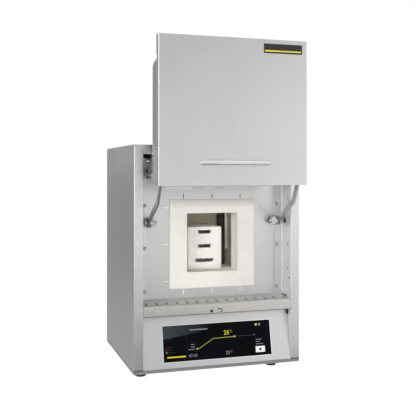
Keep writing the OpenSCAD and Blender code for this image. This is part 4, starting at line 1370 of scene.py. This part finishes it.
@dataclass
class LiftGuide:
    """The four arms, their pivots on the cabinet and the screws round them.

    Attributes:
        pivot_y: Y of the cabinet's pivots.
        lower_z: Z of the lower pivots.
        upper_z: Z of the upper pivots.
        arm_x: X of the arms' outer face on the left.
        arm_t: thickness of an arm.
        nut_t: height of a nut with its washer.
        bolt_end: X of the left bolts' threaded ends.
    """

    pivot_y: float = 32.0
    lower_z: float = 284.5
    upper_z: float = 379.5
    arm_x: float = 32.0
    arm_t: float = 4.0
    nut_t: float = 7.9
    bolt_end: float = 50.3

    def build(self) -> None:
        """Makes the guide's pieces."""
        for level, body in (("lower", Body.LOWER_ARMS), ("upper", Body.UPPER_ARMS)):
            for side in ("left", "right"):
                node = f"{side}_{level}_arm"
                Form().copy_of(node).soften(0.45, 2).piece(
                    f"{side}_{level}_bar", ARM_STEEL, body, "arm_steel", [node]
                )
        Form().copy_of("pivot_brackets").soften(0.3, 2).piece(
            "pivot_ears", ZINC_STEEL, Body.CABINET, "bright_steel", ["pivot_brackets"]
        )
        self.bolts()
        self.nuts()
        self.screws()

    def bolts(self) -> None:
        """Makes the pivot bolts: domed heads outside, threaded ends inside, dark rings between."""
        form, rings = Form(), Form()
        nut_x = self.arm_x + self.arm_t + 3.4
        for z in (self.lower_z, self.upper_z):
            at = (0.0, self.pivot_y, z)
            head = [
                (30.4, 0.0), (30.2, 3.3), (28.9, 3.9), (28.8, 6.2), (29.3, 6.9), (31.2, 7.0), (31.3, 6.2),
                (31.8, 6.2), (31.8, 4.0),
            ]
            shank = [(nut_x + self.nut_t, 4.0)]
            turn = nut_x + self.nut_t + 0.3
            while turn < self.bolt_end - 1.1:
                shank += [(turn, 4.0), (turn + 0.45, 3.5), (turn + 0.9, 4.0)]
                turn += 0.95
            shank += [(self.bolt_end - 0.7, 3.8), (self.bolt_end, 3.1), (self.bolt_end, 0.0)]
            form.turned(head + shank, Axis.X, at, 36)
            rings.turned([(31.0, 4.2), (31.0, 8.4), (31.9, 8.4), (31.9, 4.2)], Axis.X, at, 36, closed=True)
            rings.turned(
                [(nut_x - 0.9, 4.2), (nut_x - 0.9, 6.2), (nut_x - 0.1, 6.2), (nut_x - 0.1, 4.2)],
                Axis.X,
                at,
                36,
                closed=True,
            )
        rings.mirrored().piece("pivot_slide_rings", FOOT_RUBBER, Body.CABINET, "dark_steel")
        form.mirrored().piece("pivot_bolt_set", BOLT_STEEL, Body.CABINET, "dark_steel", ["pivot_bolts"])

    def nuts(self) -> None:
        """Makes the nuts with chamfered corners, each on its washer."""
        form = Form()
        nut_x = self.arm_x + self.arm_t + 3.4
        for z in (self.lower_z, self.upper_z):
            at = (nut_x, self.pivot_y, z)
            form.turned(
                [(0.0, 4.1), (0.0, 8.0), (0.2, 8.2), (1.2, 8.2), (1.4, 8.0), (1.4, 4.1)],
                Axis.X,
                at,
                40,
                closed=True,
            )
            t = self.nut_t
            outer = [(1.4, 7.4), (2.0, 8.0), (t - 0.6, 8.0), (t, 7.2), (t, 4.8), (t - 0.7, 4.05), (1.4, 4.05)]
            form.turned(outer, Axis.X, at, 6, closed=True)
        form.soften(0.2, 1).mirrored().piece(
            "pivot_nut_set", NUT_STEEL, Body.CABINET, "dark_steel", ["pivot_nuts"]
        )

    def screws(self) -> None:
        """Makes the screws in the flanges beside the recessed plate, with painted shade: dark rings round their heads
        and dark discs in the posts' tool holes.
        """
        form = Form()
        # Dark rings under the heads: painted shade round each screw.
        rings = Form()
        for z in (148.0, 234.0, 318.0):
            socket_head(form, Axis.Y, (30.5, 45.8, z), -1, 3.1, 2.0)
            rings.turned([(45.3, 0.5), (45.3, 3.3), (45.8, 3.5), (45.8, 0.5)], Axis.Y, (30.5, 0.0, z), 24, closed=True)
        form.mirrored().piece(
            "recess_screw_heads", SCREW_STEEL, Body.CABINET, "bright_steel", ["recess_screws"]
        )
        rings.mirrored().piece("recess_screw_seals", FOOT_RUBBER, Body.CABINET, "bright_steel")
        # Dark discs in the tool holes: painted shade inside them.
        plugs = Form()
        for y, z in ((16.0, 330.0), (9.5, 324.0), (16.0, 237.0), (16.0, 187.0), (9.5, 168.7)):
            plugs.turned([(17.2, 0.0), (17.2, 2.0), (18.04, 2.0), (18.04, 0.0)], Axis.X, (0.0, y, z), 16)
        plugs.mirrored().piece("tool_hole_plugs", FOOT_RUBBER, Body.CABINET, "bright_steel")


@dataclass
class Chamber:
    """The white collar, the insulated chamber behind it and what stands and hangs in it."""

    def build(self) -> None:
        """Makes the chamber's pieces and dresses its lining."""
        Form().copy_of("collar").soften(0.9, 3).piece(
            "collar_board", COLLAR_FACE, Body.CABINET, "fibre_board", ["collar"]
        )
        for node, name in (
            ("sagger_bottom", "bottom_tray"),
            ("sagger_middle", "middle_tray"),
            ("sagger_top", "top_tray"),
            ("sagger_lid", "tray_lid"),
        ):
            Form().copy_of(node).soften(0.12, 2).piece(name, TRAY_CERAMIC, Body.CABINET, "alumina", [node])
        dress(COLLAR_BOARD, "front_insulation")
        dress(
            INNER_BOARD,
            "chamber_floor",
            "chamber_roof",
            "chamber_left_wall",
            "chamber_right_wall",
        )
        # The rear wall takes the darker copy of the lining: painted shade.
        dress(REAR_BOARD, "chamber_rear_wall")
        dress(INNER_STEEL, "inner_casing", "casing_stands")
        dress(CARBIDE, "left_heating_rod", "right_heating_rod")
        dress(ZINC_STEEL, "rod_clamps")
        dress(TUBE_CERAMIC, "thermocouple")
        dress(VENT_CERAMIC, "exhaust_tube")
        Form().copy_of("exhaust_ring").soften(0.3, 2).piece(
            "vent_ring", BRIGHT_STEEL, Body.CABINET, "bright_steel", ["exhaust_ring"]
        )


@dataclass
class ControlPanel:
    """The leaning control panel with its display glass.

    Attributes:
        glass_x: low and high X of the glass.
        glass_z: low and high place of the glass up the slope.
        face: Y of the glass's face in the panel's own frame.
    """

    glass_x: tuple[float, float] = (59.0, 281.0)
    glass_z: tuple[float, float] = (12.0, 80.0)
    face: float = -0.5

    def build(self) -> None:
        """Makes the panel's pieces."""
        Form(FASCIA).copy_of("control_fascia").soften(0.25, 2).piece(
            "fascia_sheet", FASCIA_STEEL, Body.CABINET, "front_steel", ["control_fascia"]
        )
        Form(FASCIA).copy_of("touch_glass").soften(0.2, 2).piece(
            "display_pane", DISPLAY_GLASS, Body.CABINET, "display_glass", ["touch_glass"]
        )
        Form(FASCIA).copy_of("port_flap").soften(0.25, 2).piece(
            "usb_port_flap", FLAP_ABS, Body.PORT_FLAP, "dark_plastic", ["port_flap"]
        )
        (x0, x1), (z0, z1) = self.glass_x, self.glass_z
        # A thin bright frame round the glass: a painted highlight along its edges.
        Form(FASCIA).block((x0 - 1.3, -0.12, z1 + 0.2), (x1 + 1.3, 0.0, z1 + 1.3)).block(
            (x0 - 1.3, -0.12, z0 - 1.3), (x1 + 1.3, 0.0, z0 - 0.2)
        ).block((x0 - 1.3, -0.12, z0 - 0.2), (x0 - 0.2, 0.0, z1 + 0.2)).block(
            (x1 + 0.2, -0.12, z0 - 0.2), (x1 + 1.3, 0.0, z1 + 0.2)
        ).piece("glass_edge_trim", BRIGHT_STEEL, Body.CABINET, "front_steel")
        # A dark block in the gap at the panel's right end: painted shade.
        Form().prism([(12.0, 106.5), (23.0, 106.5), (20.0, 94.0), (14.5, 94.0)], Axis.X, 321.5, 321.97).piece(
            "panel_end_seal", SEAL_ROPE, Body.CABINET, "dark_plastic"
        )
        dress(DARK_ABS, "controller_unit")
        self.graphics()
        self.knob()

    def strip(self, points: Outline, width: float, name: str, finish: Finish) -> None:
        """Draws a thin lit line through points on the glass.

        Args:
            points: its corners, across and up the slope.
            width: its width in millimetres.
            name: the piece's name.
            finish: its light.
        """
        form = Form(FASCIA)
        for (a, b), (c, d) in zip(points, points[1:]):
            along = Vector((c - a, d - b)).normalized()
            n = Vector((-along.y, along.x)) * width / 2
            outline = [(a + n.x, b + n.y), (c + n.x, d + n.y), (c - n.x, d - n.y), (a - n.x, b - n.y)]
            form.prism(outline, Axis.Y, self.face - 0.04, self.face)
        for a, b in points:
            form.prism(
                [(a + x, b + z) for x, z in ring_points(width / 2, 10)], Axis.Y, self.face - 0.04, self.face
            )
        form.piece(name, finish, Body.CABINET, "display_glass")

    def patch(self, x0: float, x1: float, z0: float, z1: float, name: str, finish: Finish, radius: float = 0.3) -> None:
        """Draws a lit patch on the glass between two places across and two up the slope."""
        Form(FASCIA).prism(
            rounded_rectangle(x0, x1, z0, z1, radius, 3), Axis.Y, self.face - 0.04, self.face
        ).piece(name, finish, Body.CABINET, "display_glass")

    def dots(self, spots: Outline, radius: float, name: str, finish: Finish) -> None:
        """Draws lit dots on the glass, all in one piece."""
        form = Form(FASCIA)
        for a, b in spots:
            form.prism(
                [(a + x, b + z) for x, z in ring_points(radius, 14)], Axis.Y, self.face - 0.06, self.face
            )
        form.piece(name, finish, Body.CABINET, "display_glass")

    def words(self, x: float, z: float, height: float, lengths: Sequence[float], name: str, finish: Finish) -> None:
        """Draws a row of short bars where a caption stands.

        Args:
            x: where the row starts.
            z: the row's lower edge, up the slope.
            height: the height of the bars.
            lengths: the length of each bar; a gap of 0.8 mm parts them.
            name: the piece's name.
            finish: its light.
        """
        form = Form(FASCIA)
        for length in lengths:
            outline = rounded_rectangle(x, x + length, z, z + height, min(length, height) * 0.25, 2)
            form.prism(outline, Axis.Y, self.face - 0.04, self.face)
            x += length + 0.8
        form.piece(name, finish, Body.CABINET, "display_glass")

    def graphics(self) -> None:
        """Draws the display's plain curve, numerals, bars and lamps."""
        self.strip([(126.3, 33.2), (130.5, 33.6), (160.3, 50.6), (204.8, 51.8)], 1.25, "heating_curve", LIT_DIM_YELLOW)
        self.dots([(126.6, 33.4)], 1.5, "curve_start_dot", LIT_YELLOW)
        self.dots([(204.8, 51.8)], 1.7, "curve_end_dot", LIT_AMBER)
        rest = [(209.5 + 4.2 * i, 51.9 + 0.01 * i) for i in range(9)]
        self.dots(rest, 0.45, "curve_rest_dots", LIT_GREY)
        self.dots([(246.8, 52.3)], 1.0, "curve_last_dot", LIT_GREY)
        self.dots([(247.4, 49.0 - 3.6 * i) for i in range(8)], 0.3, "fall_dots", LIT_FAINT)
        self.strip([(106.6, 76.0), (106.6, 29.0)], 0.35, "divider_line", LIT_FAINT)
        title = (2.2, 2.6, 1.8, 2.6, 2.2, 2.6, 1.8, 3.0, 2.2, 2.6, 1.8, 2.6)
        self.words(112.4, 68.8, 2.4, title, "title_words", LIT_GREY)
        for i, row in enumerate(((2.4, 1.6, 1.8), (1.6, 2.4, 2.2), (1.6, 2.8, 1.4, 2.6, 1.8))):
            start = 121.8 - sum(row) - 0.8 * (len(row) - 1)
            self.words(start, 41.4 - 4.6 * i, 1.4, row, f"start_words_{i}", LIT_GREY)
        for i, row in enumerate(((2.6, 1.8, 2.4, 2.6), (2.2, 2.6, 1.8), (2.0, 2.8, 1.6, 2.8, 2.6))):
            self.words(249.2, 42.2 - 4.4 * i, 1.4, row, f"end_words_{i}", LIT_GREY)
        self.patch(247.6, 267.4, 17.9, 29.6, "button_patch", LIT_WHITE, 0.6)
        self.dots([(257.5, 23.6)], 2.6, "button_dot", PLATE_BLACK)
        self.patch(249.4, 253.6, 70.0, 74.4, "home_icon", LIT_YELLOW, 1.2)
        self.patch(256.6, 260.8, 70.0, 74.4, "menu_icon", LIT_GREY, 1.2)
        for i, finish in enumerate((LIT_RED, LIT_ORANGE, LIT_AMBER)):
            self.dots([(64.9, 39.2 - 4.7 * i)], 1.1, f"lamp_{i}", finish)
            self.patch(68.0, 76.5 + 4.5 * (i == 2), 38.5 - 4.7 * i, 39.9 - 4.7 * i, f"lamp_bar_{i}", LIT_FAINT, 0.5)
        self.patch(66.0, 103.0, 19.4, 22.0, "plain_yellow_bar", LIT_YELLOW, 0.5)
        lettering("25", FASCIA, (182.6, self.face, 56.6), 7.8, "set_temperature", LIT_YELLOW, 0.12)
        lettering("°C", FASCIA, (193.6, self.face, 60.4), 4.2, "set_temperature_unit", LIT_DIM_YELLOW)
        lettering("25", FASCIA, (184.4, self.face, 18.6), 6.4, "room_temperature", LIT_GREY, 0.0)
        lettering("°C", FASCIA, (193.6, self.face, 21.8), 3.2, "room_temperature_unit", LIT_GREY)
        lettering("07:33", FASCIA, (109.2, self.face, 18.4), 5.4, "clock_numerals", LIT_GREY, 0.0)

    def knob(self) -> None:
        """Makes the air knob: a small domed button on its stem."""
        at = (153.8, 0.0, 112.8)
        profile = [(20.0, 0.0), (20.0, 1.5), (-0.2, 1.5), (-0.2, 2.3), (-0.5, 2.5), (-1.9, 2.5), (-2.3, 2.1), (-2.4, 0.0)]
        Form().turned(profile, Axis.Y, at, 28).piece(
            "air_button", FOOT_RUBBER, Body.AIR_KNOB, "dark_plastic", ["air_knob"]
        )
        dress(INNER_STEEL, "air_guide")


@dataclass
class RearFittings:
    """The fan with its guard, the mains inlet, the main switch and the rear screws.

    Attributes:
        back: Y of the rear panel's outer face.
        fan_x: X of the fan's axis.
        fan_z: Z of the fan's axis.
    """

    back: float = 300.0
    fan_x: float = 170.0
    fan_z: float = 66.0

    def build(self) -> None:
        """Makes the fittings."""
        Form().copy_of("fan_frame").soften(0.5, 2).piece(
            "fan_housing", DARK_ABS, Body.CABINET, "dark_plastic", ["fan_frame"]
        )
        Form().copy_of("fan_rotor").soften(0.25, 2).piece(
            "fan_impeller", DARK_ABS, Body.FAN_ROTOR, "dark_plastic", ["fan_rotor"]
        )
        self.guard()
        Form().copy_of("power_inlet").soften(0.5, 2).piece(
            "mains_inlet_shell", DARK_ABS, Body.CABINET, "dark_plastic", ["power_inlet"]
        )
        Form().copy_of("inlet_pins").soften(0.3, 2).piece(
            "mains_inlet_blades", PIN_BRASS, Body.CABINET, "pin_brass", ["inlet_pins"]
        )
        Form().copy_of("switch_frame").soften(0.4, 2).piece(
            "switch_bezel", DARK_ABS, Body.CABINET, "dark_plastic", ["switch_frame"]
        )
        Form().copy_of("switch_rocker").soften(0.4, 2).piece(
            "switch_key", DARK_ABS, Body.SWITCH_ROCKER, "dark_plastic", ["switch_rocker"]
        )
        dress(DARK_ABS, "power_module")
        self.screws()

    def guard(self) -> None:
        """Makes the finger guard from rings and spokes of round wire."""
        form = Form()
        y = self.back + 1.1
        for radius in (38.0, 28.0, 18.0):
            circle = [(self.fan_x + a, y, self.fan_z + b) for a, b in ring_points(radius, 56)]
            form.wire(circle, 0.85, 10, closed=True)
        for turn in (45.0, 135.0):
            a = math.radians(turn)
            far = [
                (self.fan_x + s * 50.0 * math.cos(a), y, self.fan_z + s * 50.0 * math.sin(a)) for s in (-1, 1)
            ]
            form.wire(far, 0.95, 10)
            for spot in far:
                form.turned([(-0.9, 3.4), (0.6, 3.4), (0.9, 2.9), (0.9, 0.0)], Axis.Y, spot, 20)
        form.piece("wire_finger_guard", BRIGHT_STEEL, Body.CABINET, "bright_steel", ["finger_guard"])

    def screws(self) -> None:
        """Makes the rear panel's screw heads."""
        form = Form()
        for x in (7.0, CABINET_WIDTH - 7.0):
            for i in range(4):
                z = 40.0 + i * 340.0 / 3
                socket_head(form, Axis.Y, (x, self.back, z), 1, 3.1, 2.0)
        form.piece("rear_screw_heads", BRIGHT_STEEL, Body.CABINET, "bright_steel", ["rear_screws"])


@dataclass
class Studio:
    """The pale floor, the soft lamps and the camera.

    Attributes:
        eye: the camera's place in metres.
        yaw: how far it looks to the right of straight ahead, in radians.
        pitch: how far it looks up, in radians.
        lens: focal length in millimetres.
        shift: the sensor's shift across and up.
        ambient: how strongly the white room lights the object.
    """

    eye: Point = (-0.455238, -1.469519, 0.406656)
    yaw: float = 0.312
    pitch: float = 0.008
    lens: float = 63.735
    shift: tuple[float, float] = (-0.01172, -0.09465)
    ambient: float = 0.32

    def build(self) -> None:
        """Sets the stage."""
        self.camera()
        self.floor()
        self.room()
        self.lamp("key_lamp", (-0.35, -2.2, 0.42), (0.0, 0.0, 0.25), 0.8, 20.0, mirrored=False)
        self.lamp("fill_lamp", (-1.5, -1.5, 0.5), (0.0, 0.0, 0.25), 0.9, 14.0, mirrored=False)
        self.lamp("chamber_lamp", (-0.35, -1.2, 0.36), (-0.008, -0.03, 0.222), 0.1, 0.006, mirrored=False, spread=3.0)
        self.lamp("inner_lamp", (0.02, -0.01, 0.315), (0.03, 0.03, 0.2), 0.07, 0.006, mirrored=False)
        self.lamp("floor_lamp", (0.046, 0.0, 0.238), (0.046, 0.012, 0.2), 0.016, 0.003, mirrored=False)
        self.card("side_card", (-3.0, 1.1, 0.0), (2.7, 0.0, 0.0), (0.0, 0.0, 0.42), "#888888")
        self.card("high_side_card", (-3.0, 1.1, 0.42), (2.7, 0.0, 0.0), (0.0, 0.0, 1.5), "#b2b2b2")
        self.card("left_floor_card", (-3.0, -0.2, 0.002), (2.84, 0.0, 0.0), (0.0, 1.3, 0.0), "#b4b4b4")
        self.card("front_floor_card", (-1.6, -1.15, 0.002), (1.7, 0.0, 0.0), (0.0, 0.95, 0.0), "#989694")
        self.card("right_floor_card", (0.1, -1.15, 0.002), (1.6, 0.0, 0.0), (0.0, 0.95, 0.0), "#e6e4e2")
        self.card("near_floor_card", (-0.3, -0.2, 0.002), (0.6, 0.0, 0.0), (0.0, 0.09, 0.0), "#86847f")
        self.card("front_high_card", (-3.0, -3.2, 1.1), (6.0, 0.0, 0.0), (0.0, 0.8, 2.0), "#c8c8c8")
        self.card("right_front_card", (1.3, -3.0, 0.15), (1.7, 0.6, 0.0), (0.0, 0.0, 1.0), "#ffffff", 2.15)
        self.card("left_front_card", (-2.8, -1.0, 0.1), (1.9, -1.9, 0.0), (0.0, 0.0, 1.6), "#ffffff", 2.4)
        self.card("left_strip", (-2.6, -1.0, 0.0), (0.0, 0.8, 0.0), (0.0, 0.0, 2.2), "#ffffff", 5.0)
        self.card("top_strip", (-1.0, -0.8, 2.3), (2.0, 0.0, 0.0), (0.0, 0.7, 0.0), "#ffffff", 2.2)

    def camera(self) -> None:
        """Places the camera where the photograph was taken from."""
        data = bpy.data.cameras.new("photo_camera")
        data.lens = self.lens
        data.sensor_width = 36.0
        data.shift_x, data.shift_y = self.shift
        data.clip_start, data.clip_end = 0.05, 40.0
        made = bpy.data.objects.new("photo_camera", data)
        made.location = self.eye
        made.rotation_euler = (math.pi / 2 + self.pitch, 0.0, -self.yaw)
        bpy.context.scene.collection.objects.link(made)
        bpy.context.scene.camera = made

    def room(self) -> None:
        """Sets a white room: full white to the camera and in reflections, softer as light."""
        world = bpy.data.worlds.new("white_room")
        world.use_nodes = True
        tree = world.node_tree
        tree.nodes.clear()
        path = add_node(tree, "ShaderNodeLightPath")
        seen = path.outputs["Is Camera Ray"]
        for name in ("Is Glossy Ray", "Is Transmission Ray"):
            seen = add_node(
                tree, "ShaderNodeMath", options={"operation": "MAXIMUM"}, inputs={0: seen, 1: path.outputs[name]}
            ).outputs[0]
        strength = add_node(
            tree, "ShaderNodeMapRange", inputs={"Value": seen, "To Min": self.ambient, "To Max": 1.0}
        )
        light = add_node(
            tree,
            "ShaderNodeBackground",
            inputs={"Color": (1.0, 1.0, 1.0, 1.0), "Strength": strength.outputs["Result"]},
        )
        add_node(tree, "ShaderNodeOutputWorld", inputs={"Surface": light.outputs["Background"]})
        bpy.context.scene.world = world
        bpy.context.scene.view_settings.view_transform = "Standard"

    def floor(self) -> None:
        """Lays the pale floor, white to the camera but for the object's shadow."""
        mesh = bpy.data.meshes.new("studio_floor")
        form = bmesh.new()
        for x, y in ((-6, -6), (6, -6), (6, 6), (-6, 6)):
            form.verts.new((x, y, 0.0))
        form.faces.new(form.verts[:])
        form.to_mesh(mesh)
        form.free()
        made = bpy.data.objects.new("studio_floor", mesh)
        bpy.context.scene.collection.objects.link(made)
        paint = bpy.data.materials.new("matt_white_floor_paint")
        paint.use_nodes = True
        tree = paint.node_tree
        tree.nodes.clear()
        path = add_node(tree, "ShaderNodeLightPath")
        seen = path.outputs["Is Camera Ray"]
        for name in ("Is Glossy Ray", "Is Transmission Ray"):
            seen = add_node(
                tree, "ShaderNodeMath", options={"operation": "MAXIMUM"}, inputs={0: seen, 1: path.outputs[name]}
            ).outputs[0]
        glow = add_node(
            tree, "ShaderNodeMapRange", inputs={"Value": seen, "To Min": 0.0, "To Max": 0.72}
        )
        shader = add_node(
            tree,
            "ShaderNodeBsdfPrincipled",
            inputs={
                "Base Color": linear("#f4f4f4"),
                "Roughness": 0.9,
                "Specular IOR Level": 0.0,
                "Emission Color": (1.0, 1.0, 1.0, 1.0),
                "Emission Strength": glow.outputs["Result"],
            },
        )
        add_node(tree, "ShaderNodeOutputMaterial", inputs={"Surface": shader.outputs["BSDF"]})
        mesh.materials.append(paint)

    def card(
        self, name: str, corner: Point, along: Point, across: Point, colour: str, power: float = 1.0
    ) -> None:
        """Stands a card where only reflections see it: a grey one darkens them, a lit one is a strip of light.

        Args:
            name: the card's name.
            corner: one corner in metres.
            along: the first side, from that corner.
            across: the second side, from that corner.
            colour: its grey as sRGB hex.
            power: how many times as bright as its colour it is lit.
        """
        start, one, two = Vector(corner), Vector(along), Vector(across)
        mesh = bpy.data.meshes.new(name)
        mesh.from_pydata([start, start + one, start + one + two, start + two], [], [(0, 1, 2, 3)])
        paper = bpy.data.materials.new(name + "_matt_paper")
        paper.use_nodes = True
        tree = paper.node_tree
        tree.nodes.clear()
        shader = add_node(tree, "ShaderNodeEmission", inputs={"Color": linear(colour), "Strength": power})
        add_node(tree, "ShaderNodeOutputMaterial", inputs={"Surface": shader.outputs["Emission"]})
        mesh.materials.append(paper)
        made = bpy.data.objects.new(name, mesh)
        made.visible_camera = False
        made.visible_diffuse = False
        made.visible_shadow = False
        bpy.context.scene.collection.objects.link(made)

    def lamp(
        self,
        name: str,
        place: Point,
        target: Point,
        size: float,
        power: float,
        mirrored: bool = True,
        spread: float = 180.0,
    ) -> None:
        """Hangs a square softbox.

        Args:
            name: the lamp's name.
            place: where it hangs, in metres.
            target: what it points at.
            size: the length of its side in metres.
            power: its power in watts.
            mirrored: whether metal and glass mirror it.
            spread: the angle of its beam in degrees; 180 is an open softbox.
        """
        data = bpy.data.lights.new(name, "AREA")
        data.spread = math.radians(spread)
        data.shape = "SQUARE"
        data.size = size
        data.energy = power
        made = bpy.data.objects.new(name, data)
        made.location = place
        made.rotation_euler = (Vector(target) - Vector(place)).to_track_quat("-Z", "Y").to_euler()
        made.visible_glossy = mirrored
        bpy.context.scene.collection.objects.link(made)


def main() -> None:
    """Builds the whole scene."""
    logging.basicConfig(level=logging.INFO, format="%(name)s: %(message)s")
    for maker in (Studio(), Housing(), Door(), LiftGuide(), Chamber(), ControlPanel(), RearFittings()):
        maker.build()
        log.info("%s is built", type(maker).__name__)


if __name__ == "__main__":
    main()
